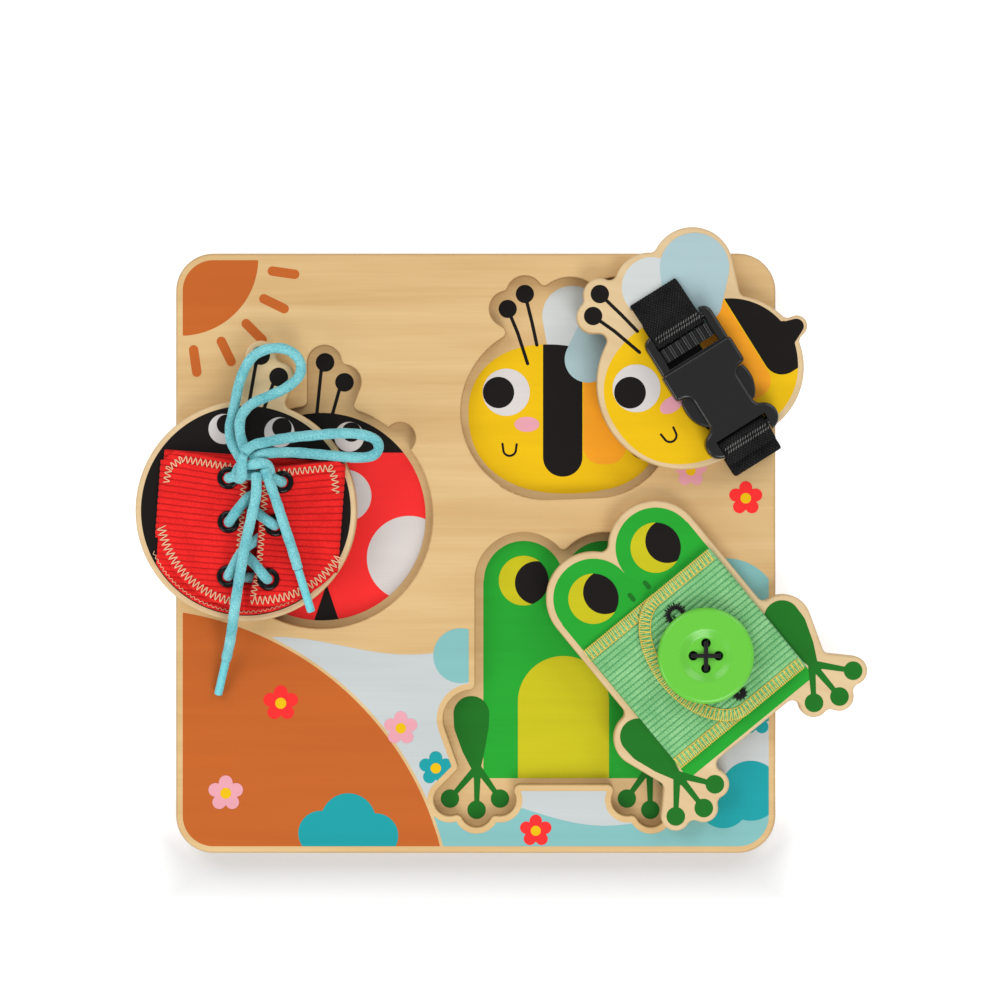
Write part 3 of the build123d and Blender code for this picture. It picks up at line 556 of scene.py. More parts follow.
def ink_slab(field, box, step, thickness):
    """Fills the zero line with triangles, keeps those whose middle is inside, and gives them a top, a bottom and walls
    along their rim."""
    points, pairs = field_edge(field, box, step)
    flat, _, faces, *_ = delaunay_2d_cdt([Vector(p) for p in points.tolist()], pairs.tolist(), [], 0, 1e-5)
    flat = np.array([tuple(v) for v in flat])
    tri = np.array(faces)
    middle = flat[tri].mean(axis=1)
    tri = tri[field(middle[:, 0], middle[:, 1]) < 0]
    p, q, r = (flat[tri[:, k]] for k in range(3))
    turn = (q[:, 0] - p[:, 0]) * (r[:, 1] - p[:, 1]) - (q[:, 1] - p[:, 1]) * (r[:, 0] - p[:, 0])
    tri = np.where((turn < 0)[:, None], tri[:, ::-1], tri)
    edges = np.concatenate([tri[:, [0, 1]], tri[:, [1, 2]], tri[:, [2, 0]]])
    _, where, count = np.unique(np.sort(edges, axis=1), axis=0, return_inverse=True, return_counts=True)
    rim = edges[count[where.ravel()] == 1]
    n = len(flat)
    top = np.column_stack([flat, np.full(n, thickness)])
    bottom = np.column_stack([flat, np.zeros(n)])
    walls = np.stack([rim[:, 0] + n, rim[:, 1] + n, rim[:, 1], rim[:, 0]], axis=1)
    return np.concatenate([top, bottom]), tri.tolist() + (tri[:, ::-1] + n).tolist() + walls.tolist()


# %% Inks
INK_LAYER = 0.03
INK_STEP, LINE_STEP = 0.4, 0.25
INK = {
    name: ink_finish("ink_" + name, srgb(*rgb))
    for name, rgb in {
        "black": (20, 16, 14), "red": (250, 46, 46), "white": (215, 209, 206), "yellow": (234, 188, 8),
        "orange": (246, 162, 34), "pink": (230, 162, 174), "sky": (168, 194, 199), "mist": (195, 201, 201),
        "green": (34, 162, 46), "leaf": (26, 112, 30), "lime": (197, 189, 24), "brown": (192, 98, 38),
        "teal": (24, 156, 162), "aqua": (130, 187, 186), "pale": (203, 208, 207),
    }.items()
}
print("inks:", list(INK))


# %% Pictures
def print_picture(name, patches, box, spot, height, body):
    """Prints a picture's patches at a spot. A patch is a label, an ink, a layer and a field, and the step of its grid
    if it has thin lines. Later layers lie a hair higher than the ones they cover."""
    total = 0
    for label, ink, layer, field, *step in patches:
        points, faces = ink_slab(field, box, *step or (INK_STEP,), INK_LAYER * layer)
        add_piece(f"{name}_{label}", put(points, spot, height), faces, body, INK[ink], smooth=False)
        total += len(faces)
    print(name, "patches:", len(patches), "faces:", total)


def print_animal(animal, box, patches, covered=()):
    """Prints an animal on its plate, and on the floor of its recess with the patches that its clothes cover as well."""
    print_picture(animal + "_print", patches, box, PLATES[animal], PLATE_TOP, animal)
    whole = (*patches, *covered)
    print_picture(animal + "_recess_print", whole, box, RECESSES[animal], RECESS_FLOOR, "board")


# %% [markdown]
# ### The animals
#
# Each picture is printed twice, on the plate and on the floor of its recess, so it is one list of patches. The drawings
# are the plainest of their kind: a spotted ladybird, a striped bee and a green frog with a pale belly. An outline gives
# the recess's edge, which the board's own picture keeps clear of.

# %% Ladybird
LADYBIRD_R = 44.0
RIM = 2.3
STEM_R = 0.68
FEELERS = ((1.3, 62.0), (9.1, 54.0))
FEELER_STEMS = (((-0.2, 59.4), (-2.2, 39.5)), ((7.2, 51.6), (3.8, 39.5)))


def ladybird_outline(x, y):
    """A round body, two feelers that merge, and the finger notch."""
    feelers = (link(x, y, (1.3, 61.8), 6.2, (1.3, 38), 6.2), link(x, y, (9.2, 54), 6.2, (3, 38), 6.2))
    return least(disc(x, y, (0, 0), LADYBIRD_R), *feelers, disc(x, y, (31.5, 31.5), 5.6))


def ladybird_black(x, y):
    """The whole body, with its feelers as thin stems and round knobs."""
    stems = [link(x, y, top, STEM_R, root, STEM_R) for top, root in FEELER_STEMS]
    knobs = [disc(x, y, knob, 3.75) for knob in FEELERS]
    return least(disc(x, y, (0, 0), LADYBIRD_R - RIM), *stems, *knobs)


def ladybird_shell(x, y):
    """The body below the head's straight line, parted by a gap that widens towards the bottom."""
    gap = np.abs(x - 1.9) - np.maximum(0.5, 0.34 * (-27 - y))
    return most(disc(x, y, (0, 0), LADYBIRD_R - RIM), y - 25.7, -gap)


def ladybird_spots(x, y):
    """A large and a small spot on each half of the shell."""
    spots = [disc(np.abs(x), y, place, r) for place, r in (((35.1, -16.7), 17.0), ((9.4, 8.4), 10.5))]
    return most(least(*spots), ladybird_shell(x, y))


# %% Print the ladybird
LADYBIRD_PATCHES = (
    ("black", "black", 1, ladybird_black),
    ("eyes", "white", 2, lambda x, y: pair(x, y, (-11.2, 31.8), (11.0, 32.1), 6.0)),
    ("pupils", "black", 3, lambda x, y: pair(x, y, (-10.2, 33.7), (11.9, 34.0), 3.9)),
)
LADYBIRD_COVERED = (("red", "red", 2, ladybird_shell), ("spots", "white", 3, ladybird_spots))
print_animal("ladybird", (-45, 45, -45, 70), LADYBIRD_PATCHES, LADYBIRD_COVERED)

# %% Bee
BEE_KNOBS = ((0.6, 33.6), (7.5, 39.6))
BEE_STEMS = ((0.6, 33.6), (4.6, 24.0), (8.6, 11.6)), ((7.5, 39.6), (10.4, 28.0), (12.3, 19.1))
BAND_TOP = 60.0
SMILE_R = 0.45


def bee_outline(x, y):
    """The body, its sting, two wings and two feelers."""
    return least(
        link(x, y, (16.8, -8.0), 34.3, (36.6, -12.9), 28.7),
        link(x, y, (67.3, -12.6), 4.2, (58, -13), 6),
        disc(x, y, (25.5, 31.6), 13.8),
        link(x, y, (44.3, 29.0), 16.2, (44.0, 8.0), 9.5),
        link(x, y, (0.5, 33.3), 6.6, (13.5, 22.5), 4),
        link(x, y, (7.4, 39.4), 6.6, (13, 20), 4),
    )


def bee_yellow(x, y):
    """The printed body: one superellipse for the whole underside, a shorter one for the head's crown, and a round
    tail. A superellipse is an ellipse whose power is a little over 2, so it is fuller at its corners."""
    low = oblong(x, y, (24.4, -8), 39.6, 32.6, 2.3)
    crown = oblong(x, y, (16.8, -8), 32.0, 27.3, 2.2)
    return least(most(low, y + 8), most(crown, -8 - y), link(x, y, (16.8, -8), 27.3, (36.2, -12.2), 27.0))


def bee_near_wing(x, y):
    """A pale wing that stops at the body's edge."""
    return most(link(x, y, (26.5, 30.9), 12.0, (27.5, 14), 10.0), 0.02 - bee_yellow(x, y))


def bee_far_wing(x, y):
    """A blue wing that narrows towards its root, over the body."""
    tip = (45.0, 28.6), 13.8
    return least(link(x, y, *tip, (32.8, 13.3), 9.3), link(x, y, *tip, (39.8, 15.8), 8.6))


def bee_band(x, y, left, right, bottom, round_r):
    """A band across the body with a round lower end."""
    band = slab(x, y, (left + round_r, bottom + round_r), (right - round_r, BAND_TOP)) - round_r
    beyond = np.maximum(np.abs(x - (left + right) / 2) - (right - left) / 2 + round_r, 0)
    corner = np.hypot(beyond, np.maximum(bottom + round_r - y, 0)) - round_r
    return most(band, corner, bee_yellow(x, y))


def bee_stripes(x, y):
    """The band behind the head, the tail and the sting."""
    sting = link(x, y, (66.9, -12.6), 3.0, (56, -13.4), 7.0)
    tail = bee_band(x, y, 48.4, 80.0, -27.0, 7.5)
    return least(bee_band(x, y, 14.8, 30.6, -33.8, 7.8), tail, sting)


def bee_lines(x, y):
    """The feelers, each with one bend and a round knob, and the smile, an arc with a short straight at each end."""
    steps = [step for stem in BEE_STEMS for step in zip(stem, stem[1:])]
    stems = [link(x, y, a, STEM_R, b, STEM_R) for a, b in steps]
    knobs = [disc(x, y, knob, 3.65) for knob in BEE_KNOBS]
    corners = (((-1.5, -20.6), (-1.2, -22.9)), ((4.2, -20.8), (3.9, -22.9)))
    smile = [link(x, y, a, SMILE_R, b, SMILE_R) for a, b in corners]
    return least(*stems, *knobs, *smile, bow(x, y, (1.35, -22.9), 2.55, 180, 360, 2 * SMILE_R))


# %% Print the bee
BEE_PATCHES = (
    ("near_wing", "pale", 1, bee_near_wing),
    ("far_wing", "sky", 4, bee_far_wing),
    ("yellow", "yellow", 1, bee_yellow),
    ("orange", "orange", 2, lambda x, y: bee_band(x, y, 31.0, 48.0, -28.8, 7.0)),
    ("stripes", "black", 3, bee_stripes),
    ("lines", "black", 2, bee_lines, LINE_STEP),
    ("eye", "white", 3, lambda x, y: disc(x, y, (0, 0.1), 9.5)),
    ("pupil", "black", 4, lambda x, y: disc(x, y, (-3.1, 0.0), 6.3)),
    ("cheek", "pink", 3, lambda x, y: oval(x, y, (8.3, -12.8), 5.0, 3.0)),
)
print_animal("bee", (-22, 72, -48, 52), BEE_PATCHES)

# %% Frog
FROG_EYE = (16, 0)
TOES = ((45.6, -87.6), (34.9, -92.1), (25.5, -87.6))
ANKLE = (35.0, -76.4)
FROG_THIGH = (((37.0, -53.6), 7.2), ((37.0, -58.0), 7.0), ((36.2, -67.0), 4.7), ((35.0, -76.0), 1.6))
BELLY_R = 18.3


def frog_outline(x, y):
    """Two eyes on a square trunk, and a thigh with three toes on each side."""
    x = np.abs(x)
    trunk = slab(x, y, (-34.8, -80.8), (34.8, 0))
    toes = [link(x, y, toe, 5.8, ANKLE, 5.4) for toe in TOES]
    return least(disc(x, y, FROG_EYE, 18.8), trunk, link(x, y, (36.6, -55.2), 11.0, ANKLE, 5.4), *toes)


def frog_skin(x, y):
    """Two round eyes that just meet, on a square trunk."""
    return least(disc(np.abs(x), y, FROG_EYE, 15.95), slab(x, y, (-32.2, -79.4), (32.2, 0)))


def frog_legs(x, y):
    """Thighs that taper to the ankle, thin toes and their round tips, the same on both sides."""
    x = np.abs(x)
    toes = [link(x, y, toe, 0.9, (34.6, -75), 1.5) for toe in TOES]
    tips = [disc(x, y, toe, 3.7) for toe in TOES]
    thigh = [link(x, y, a, ra, b, rb) for (a, ra), (b, rb) in zip(FROG_THIGH, FROG_THIGH[1:])]
    return least(*thigh, *toes, *tips)


def frog_eyes(x, y):
    """The pale ring round each pupil, as a whole disc."""
    return disc(np.abs(x), y, FROG_EYE, 10.0)


def frog_pupils(x, y):
    """Large pupils that look to the right, cut off at the eyes' edges."""
    return most(pair(x, y, (-10.8, -0.9), (21.2, -0.9), 8.7), frog_eyes(x, y))


def frog_belly(x, y):
    """A patch with a round top, down to the end of the skin."""
    arch = least(disc(x, y, (0, -48.6), BELLY_R), slab(x, y, (-BELLY_R, -90), (BELLY_R, -48.6)))
    return most(arch, frog_skin(x, y))


# %% Print the frog
FROG_PATCHES = (
    ("green", "green", 1, frog_skin),
    ("legs", "leaf", 2, frog_legs),
    ("eyes", "lime", 2, frog_eyes),
    ("pupils", "black", 3, frog_pupils),
    ("nostrils", "leaf", 2, lambda x, y: link(np.abs(x), y, (3.9, -8.1), 0.95, (3.9, -10.3), 0.95), LINE_STEP),
)
print_animal("frog", (-56, 56, -102, 22), FROG_PATCHES, (("belly", "lime", 2, frog_belly),))

# %% [markdown]
# ### The board's picture
#
# Round the recesses the board shows plain country: a low sun in one corner, a brown hill, a pale field with a wavy
# edge, rolling ground along the bottom, a few round bushes and daisies. A bare rim follows the board's edge and every
# recess.

# %% Country scene
EDGE_RIM, RECESS_RIM = 2.8, 3.2
HILL_GAP = 1.2
SUN = (-118, 118)
DAISIES = {
    "red": ((-78, -60, 4.4), (24, -111, 4.0), (108, 22, 4.2)),
    "pink": ((-30, -70, 4.2), (86, 33, 4.0), (-100, -96, 4.4)),
    "teal": ((-16, -86, 4.2), (112, -66, 4.2), (92, -12, 4.0)),
}
BUSHES = ((-62, -112, 9), (-51, -107, 11), (-40, -113, 9), (99, -100, 10), (110, -95, 12))
FAR_BUSHES = ((100, -24, 22), (-6, -41, 11))
OUTLINES = {"ladybird": ladybird_outline, "bee": bee_outline, "frog": frog_outline}


def bare_wood(x, y):
    """Positive on the rims: outside the board's margin, or too near a recess."""
    straight = BOARD_HALF - BOARD_CORNER_R
    edge = np.maximum(np.abs(x), np.abs(y)) - BOARD_HALF
    corner = np.hypot(np.maximum(np.abs(x) - straight, 0), np.maximum(np.abs(y) - straight, 0)) - BOARD_CORNER_R
    recesses = [outline(x - RECESSES[name][0], y - RECESSES[name][1]) for name, outline in OUTLINES.items()]
    return most(most(edge, corner) + EDGE_RIM, RECESS_RIM - least(*recesses))


def hill(x, y):
    """A broad round hill whose middle is far below the left corner."""
    return disc(x, y, (-138, -150), 128)


def meadow(x, y):
    """All that is below a wavy line, beside the hill."""
    return most(y + 37 - 3.5 * np.sin(x / 17), HILL_GAP - hill(x, y))


def rolling_ground(x, y):
    """The same with a lower line and longer waves."""
    return most(y + 103 - 6 * np.cos((x + 8) / 19), HILL_GAP - hill(x, y))


def sun(x, y):
    """A quarter disc in the corner and short rays round it."""
    headings = np.radians([-82, -64, -45, -26, -8])
    rays = [link(x, y, spoke(SUN, 37, a), 1.9, spoke(SUN, 46, a), 1.9) for a in headings]
    return least(disc(x, y, SUN, 31), *rays)


def discs(x, y, places):
    """The union of circles, each given as x, y and radius."""
    return least(*(disc(x, y, (a, b), r) for a, b, r in places))


def daisies(colour):
    """Five round petals on a ring, at each of a colour's places."""
    headings = np.radians(90 + 72 * np.arange(5))
    petals = [(*spoke((a, b), size, turn), size * 0.62) for a, b, size in DAISIES[colour] for turn in headings]
    return lambda x, y: discs(x, y, petals)


# %% Print the country scene
HEARTS = [(a, b, 0.5 * size) for places in DAISIES.values() for a, b, size in places]
COUNTRY = (
    ("hill", "brown", 1, hill),
    ("sun", "brown", 1, sun),
    ("field", "mist", 1, meadow),
    ("ground", "aqua", 2, rolling_ground),
    ("bushes", "teal", 3, lambda x, y: discs(x, y, BUSHES)),
    ("far_bush", "aqua", 2, lambda x, y: discs(x, y, FAR_BUSHES)),
    *((colour + "_daisies", colour, 4, daisies(colour)) for colour in DAISIES),
    ("daisy_hearts", "yellow", 5, lambda x, y: discs(x, y, HEARTS)),
)
patches = [
    (label, ink, layer, lambda x, y, shape=shape: most(shape(x, y), bare_wood(x, y)))
    for label, ink, layer, shape in COUNTRY
]
print_picture("board_print", patches, (-121, 121, -121, 121), BOARD, BOARD_TOP, "board")

# %% [markdown]
# ## The lace
#
# The lace is a soft round braid. Its route is the same list of points that the solid follows, laid on a smooth NURBS
# line: through the eyelets, then into a bow with two loops and two tails. A tube carried along that line gets the
# braid's herringbone as real relief, so it also shows from the side.

# %% Routes of the lace, in the ladybird's frame
LACE_D = 4.2
ROUTES = {
    "lacing": [
        (4.4, 14.6, 12.6), (-2.4, 14.0, 12.2), (-7.0, 12.5, 11.4), (-7.0, 12.5, 3.4), (1.0, 2.4, 4.4),
        (5.8, -0.8, 10.8), (12.4, -4.8, 11.4), (12.4, -4.8, 3.4), (5.8, -11.2, 4.4), (1.0, -14.4, 10.8),
        (-4.3, -26.2, 11.4), (-4.3, -26.2, 3.4), (11.1, -26.2, 3.4), (11.1, -26.2, 11.4), (5.8, -20.4, 10.8),
        (1.0, -17.0, 4.4), (-5.6, -4.8, 3.4), (-5.6, -4.8, 11.4), (1.0, 5.6, 10.8), (5.8, 8.4, 4.4), (13.8, 12.5, 3.4),
        (13.8, 12.5, 11.4), (9.6, 14.2, 12.2), (3.8, 15.4, 12.8),
    ],
    "upper_loop": [
        (-1.8, 19.6, 12.8), (-6.4, 25.0, 10.8), (-8.4, 31.4, 8.0), (-7.2, 40.2, 5.2), (-6.0, 52.0, 3.4),
        (-2.3, 61.2, 2.6), (4.5, 65.3, 2.7), (12.5, 65.4, 3.0), (18.0, 60.7, 3.4), (18.0, 54.6, 3.9), (12.8, 49.6, 4.6),
        (6.0, 45.9, 5.8), (-0.9, 42.2, 8.0), (-4.2, 36.9, 10.6), (-3.8, 31.0, 12.8), (-2.0, 25.8, 13.6),
        (0.6, 20.6, 13.4),
    ],
    "right_loop": [
        (-1.2, 22.6, 17.6), (1.6, 26.2, 16.6), (7.4, 27.6, 13.4), (13.6, 29.8, 9.4), (25.2, 31.9, 4.4),
        (37.4, 33.8, 2.8), (45.2, 33.6, 1.8), (50.2, 31.8, 1.3), (51.2, 28.0, 1.2), (48.4, 24.9, 1.4),
        (41.2, 24.1, 2.4), (29.0, 24.4, 3.0), (18.0, 24.6, 7.2), (10.8, 23.8, 12.2), (4.6, 22.8, 15.2),
        (1.4, 20.4, 13.6),
    ],
    "left_tail": [
        (4.2, 15.6, 16.8), (5.2, 8.0, 16.0), (3.8, -1.0, 15.3), (2.1, -11.4, 15.4), (1.0, -22.0, 15.4),
        (-0.1, -32.6, 13.8), (-0.8, -41.2, 11.4), (-1.6, -48.4, 6.6), (-2.6, -54.4, 0.8), (-3.8, -60.0, -3.0),
    ],
    "right_tail": [
        (7.2, 17.6, 16.4), (10.2, 11.0, 15.4), (13.5, 3.0, 13.2), (17.0, -6.0, 11.6), (20.3, -14.0, 9.4),
        (23.0, -21.7, 8.0),
    ],
    "knot": [
        (9.4, 15.2, 13.4), (9.2, 18.6, 14.8), (6.2, 19.4, 17.2), (2.4, 18.4, 17.0), (-0.6, 18.0, 13.6),
        (-3.0, 17.4, 11.4), (-4.2, 14.2, 11.6), (-2.6, 12.2, 13.0), (-1.0, 13.2, 16.4), (-1.7, 17.4, 18.2),
        (-1.4, 22.2, 18.0),
    ],
}
print("lace points:", sum(map(len, ROUTES.values())))


# %% The smooth line of a route
def spline_line(points, resolution):
    """Points along an open NURBS line of order 3 whose control points are the route's points, in millimetres."""
    curve = bpy.data.curves.new("route", "CURVE")
    curve.dimensions = "3D"
    curve.resolution_u = resolution
    spline = curve.splines.new("NURBS")
    spline.points.add(len(points) - 1)
    spline.points.foreach_set("co", np.column_stack([points, np.ones(len(points))]).ravel())
    spline.order_u = 3
    spline.use_endpoint_u = True
    holder = bpy.data.objects.new("route", curve)
    mesh = bpy.data.meshes.new_from_object(holder)
    line = np.empty(len(mesh.vertices) * 3)
    mesh.vertices.foreach_get("co", line)
    bpy.data.objects.remove(holder)
    bpy.data.curves.remove(curve)
    bpy.data.meshes.remove(mesh)
    return line.reshape(-1, 3)


def even_line(line, step):
    """The same line resampled at even steps of its length."""
    length = np.concatenate([[0], np.cumsum(np.linalg.norm(np.diff(line, axis=0), axis=1))])
    at = np.linspace(0, length[-1], max(int(length[-1] / step), 2) + 1)
    return np.stack([np.interp(at, length, line[:, k]) for k in range(3)], axis=1), at


def carried_frames(line):
    """Two directions square to the line, carried along it so that they twist as little as possible."""
    tangent = np.gradient(line, axis=0)
    tangent /= np.linalg.norm(tangent, axis=1, keepdims=True)
    normal = np.empty_like(line)
    start = np.cross(tangent[0], [0.3, 0.2, 0.93])
    normal[0] = start / np.linalg.norm(start)
    for i in range(1, len(line)):
        flat = normal[i - 1] - tangent[i] * np.dot(normal[i - 1], tangent[i])
        normal[i] = flat / np.linalg.norm(flat)
    return normal, np.cross(tangent, normal)


# %% Braided tube
BRAID_STRANDS = 10
BRAID_PITCH = 2.1
BRAID_RELIEF = 0.1
BRAID_SIDES = 60
TIP_REACH = 0.9


def braid_tube(line, at, diameter):
    """A tube whose radius swells where one of two crossing families of strands lies on top: two sets of helices,
    cos(10 angle + turn along) and cos(10 angle - turn along), take turns to lead. Its ends close in a small dome. The
    UV's u is the lead, so the finish paints shade where a strand dips under the other family."""
    normal, other = carried_frames(line)
    angle = np.linspace(0, 2 * np.pi, BRAID_SIDES, endpoint=False)[None, :]
    along = (2 * np.pi * at / BRAID_PITCH)[:, None]
    lead = np.maximum(np.cos(BRAID_STRANDS * angle + along), np.cos(BRAID_STRANDS * angle - along))
    swell = 1 + 0.03 * np.sin(at * 0.9 + 0.7 * np.sin(at * 0.31))[:, None]
    radius = diameter / 2 * swell + BRAID_RELIEF * (lead - 0.55)
    near = np.minimum(at, at[-1] - at)[:, None]
    radius = radius * np.sqrt(np.clip(1 - np.clip(1 - near / TIP_REACH, 0, 1) ** 2, 0.04, 1))
    ring = normal[:, None] * np.cos(angle)[..., None] + other[:, None] * np.sin(angle)[..., None]
    points = line[:, None] + ring * radius[..., None]
    faces = grid_faces(len(line), BRAID_SIDES, wrap_cols=True).tolist()
    last = (len(line) - 1) * BRAID_SIDES
    faces += [list(range(BRAID_SIDES))[::-1], list(range(last, last + BRAID_SIDES))]
    return points.reshape(-1, 3), faces, np.stack([0.5 + 0.5 * lead, 0 * lead], axis=-1)


# %% Lay the lace
LACE_STEP = 0.22
LACE_SQUEEZE = 0.15


def lay_lace(name, route):
    """One length of lace along its route, in place of the plain tube."""
    line, at = even_line(spline_line(route, 24), LACE_STEP)
    points, faces, uv = braid_tube(line, at, LACE_D - LACE_SQUEEZE)
    piece = dress("braid_" + name, points, faces, "ladybird", "lace", LACE_YARN, uv)
    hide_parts(name)
    return round(float(at[-1]), 1)


lace_lengths = {}
for name, route in ROUTES.items():
    lace_lengths[name] = lay_lace("lace_" + name, route)
print("lace, mm:", lace_lengths)

# %% [markdown]
# ## Cloth and thread
#
# Cloth is a closed sheet: one grid of points for its face, one for its back, and walls between them. Its ribs are real
# relief on the face, and its finish paints shade into the grooves between them. Sewing thread is a thin round line, and
# rows of stitches are many such lines made at once.


# %% Sheets and threads
def closed_sheet(top, bottom):
    """Rows that run along the top grid and back along the bottom one, joined into a ring, with the end rows capped."""
    rows, cols = top.shape[:2]
    ring = np.concatenate([top, bottom[:, ::-1]], axis=1)
    j = np.arange(cols - 1)
    cap = np.stack([j, j + 1, 2 * cols - 2 - j, 2 * cols - 1 - j], axis=1)
    faces = np.concatenate([grid_faces(rows, 2 * cols, True), cap[:, ::-1], cap + (rows - 1) * 2 * cols])
    return ring.reshape(-1, 3), faces


def height_uv(height):
    """A closed sheet's UV: the height in the weave as u, in the ring order of its points. Its finish paints shade where
    that height is low.
    """
    ring = np.concatenate([height, height[:, ::-1]], axis=1)
    return np.stack([ring, 0 * ring], axis=-1).reshape(-1, 2)


def threads(lines, radius, sides=6):
    """Round threads along many lines of equally many points: six points stand square to each line's run."""
    lines = np.asarray(lines, float)
    count, steps = lines.shape[:2]
    run = np.gradient(lines, axis=1)
    run /= np.linalg.norm(run, axis=2, keepdims=True) + 1e-9
    across = np.cross(run, [0.02, 0.03, 1.0])
    across /= np.linalg.norm(across, axis=2, keepdims=True)
    angle = np.linspace(0, 2 * np.pi, sides, endpoint=False)[:, None]
    ring = across[:, :, None] * np.cos(angle) + np.cross(across, run)[:, :, None] * np.sin(angle)
    points = lines[:, :, None] + radius * ring
    caps = np.array([[0, 1, 2, 3], [0, 3, 4, 5]])
    one = np.concatenate([grid_faces(steps, sides, True), caps[:, ::-1], caps + (steps - 1) * sides])
    faces = (one[None] + np.arange(count)[:, None, None] * steps * sides).reshape(-1, 4)
    return points.reshape(-1, 3), faces


def soft_edge(distance, reach):
    """A quarter circle: 0 at an edge, rising to 1 at a reach from it."""
    return np.sqrt(1 - (1 - np.clip(distance / reach, 0, 1)) ** 2)


def ribs(across, pitch, power):
    """Rounded ridges with narrow grooves between them: the absolute cosine, raised to a power below one."""
    return np.abs(np.cos(np.pi * across / pitch)) ** power


def zigzag(guide, width, pitch, surface, radius=0.2):
    """A thread that swings to both sides of a guide on a triangle wave and dips into the cloth at each turn."""
    line, at = even_line(np.column_stack([guide, np.zeros(len(guide))]), pitch / 8)
    run = np.gradient(line[:, :2], axis=0)
    run /= np.linalg.norm(run, axis=1, keepdims=True)
    swing = 2 * np.abs(2 * (at / pitch % 1) - 1) - 1
    x = line[:, 0] - run[:, 1] * swing * width / 2
    y = line[:, 1] + run[:, 0] * swing * width / 2
    z = surface(x, y) + 0.08 + 0.3 * (1 - swing**6)
    return threads(np.stack([x, y, z], axis=1)[None], radius)


# %% [markdown]
# ### The vest
#
# Corduroy, with its wales across. The back lies flat on the plate. Each flap folds over at its side, rises towards the
# lace, and ends in a curved hem a little inside the back's. A cream zigzag runs along every cut edge.

# %% Vest cloth
WALE = 2.27
VEST_CENTRE = 3.4
FLAPS = {"left": (-1, -34.0, (3.4, 1.1), 40.0), "right": (1, 37.2, (6.0, 2.0), 39.3)}
FLAP_TOPS = {-1: (-0.095, 19.1, 4.5), 1: (0.175, 16.7, 1.8)}
FLAP_BASE, FLAP_RISE, HALF_GAP = 1.2, 6.0, 2.6
FLAP_ROWS, FLAP_COLS, FOLD_COLS = 320, 76, 14
FOLD_SHARE, FOLD_DROP = 0.75, 1.15
BACK_LEFT, BACK_RIGHT, BACK_TOP, BACK_R = -33.9, 37.1, 22.0, 41.3
BACK_ROWS, BACK_COLS = 300, 120


def flap_slope(side, fold):
    """How steeply a flap rises from its fold to its free edge."""
    return FLAP_RISE / abs(VEST_CENTRE + side * HALF_GAP - fold)


def flap_under(side, fold, x):
    """The underside of a flap: a plane that rises from the fold to the free edge."""
    return FLAP_BASE + np.abs(x - fold) * flap_slope(side, fold)


def hem_line(x, centre, radius):
    """The lower part of a circle."""
    return centre[1] - np.sqrt(np.maximum(radius**2 - (x - centre[0]) ** 2, 0))


def flap_top(side, fold, x):
    """A flap's top edge: a line that falls towards the lace, with its corner at the fold cut off."""
    slope, level, corner = FLAP_TOPS[side]
    return level + slope * x - np.maximum(corner - np.abs(x - fold), 0)


def flap_cloth(side, fold, centre, radius):
    """A grid from the free edge to the fold and on round it, between the hem and the top. Wales lie across and turn
    with the top edge near it. The third result is the height in the weave, which sets the painted shade in the grooves."""
    v = np.linspace(0, 1, FLAP_ROWS)[:, None]
    opening = np.clip((v - 0.03) / 0.25, 0, 1)
    free = VEST_CENTRE + side * (0.5 + 2.1 * opening * opening * (3 - 2 * opening))
    flat = free + (fold - free) * np.linspace(0, 1, FLAP_COLS)[None, :]
    bend = np.linspace(0, 1, FOLD_COLS + 1)[None, 1:]
    x = np.concatenate([flat, np.full((FLAP_ROWS, FOLD_COLS), fold)], axis=1)
    low = hem_line(x, centre, radius)
    high = flap_top(side, fold, x)
    y = low + (high - low) * v
    edge = np.minimum(np.minimum(y - low, high - y), np.abs(x - free))
    soft = soft_edge(edge, 0.8)
    wave = 0.06 * np.sin(x * 0.9 + 1.3 * side) * np.sin(y * 0.35)
    wale = y + wave - FLAP_TOPS[side][0] * (x - VEST_CENTRE) * np.clip((y + 14) / 32, 0, 1)
    relief = 0.45 * ribs(wale, WALE, 0.5) - 0.05
    pucker = 0.16 * np.sin(np.arctan2(y - centre[1], x - centre[0]) * 44) * np.clip(1 - (y - low) / 5, 0, 1)
    under = flap_under(side, fold, x)
    top = np.stack([x, y, under + 0.3 + (1.1 + relief + pucker) * soft], axis=-1)
    bottom = np.stack([x, y, under + 0.3 * (1 - soft)], axis=-1)
    turn = np.minimum(bend / FOLD_SHARE, 1) * np.pi / 2
    drop = np.clip((bend - FOLD_SHARE) / (1 - FOLD_SHARE), 0, 1) * FOLD_DROP
    skin = 0.9 + relief[:, FLAP_COLS:] * soft[:, FLAP_COLS:] * 0.7
    top[:, FLAP_COLS:, 0] = fold + side * skin * np.sin(turn)
    top[:, FLAP_COLS:, 2] = FLAP_BASE + (skin + 0.3) * np.cos(turn) - drop
    bottom[:, FLAP_COLS:, 2] = FLAP_BASE - FOLD_DROP * bend
    return top, bottom, ribs(wale, WALE, 1.0)


def back_cloth():
    """The flat back: the same wales between its round hem and its straight top."""
    x = np.linspace(BACK_LEFT, BACK_RIGHT, BACK_COLS)[None, :] + np.zeros((BACK_ROWS, 1))
    low = hem_line(x, (0, 0), BACK_R)
    y = low + (BACK_TOP - low) * np.linspace(0, 1, BACK_ROWS)[:, None]
    soft = soft_edge(np.minimum(y - low, BACK_TOP - y), 0.7)
    top = np.stack([x, y, 0.25 + (0.6 + 0.35 * ribs(y, WALE, 0.7)) * soft], axis=-1)
    return top, np.stack([x, y, 0.02 + 0.2 * (1 - soft)], axis=-1), ribs(y, WALE, 1.0)


def add_vest(name, top, bottom, height):
    """One piece of the vest from its two grids."""
    return dress(name, *closed_sheet(top, bottom), "ladybird", "corduroy", CORDUROY, height_uv(height))


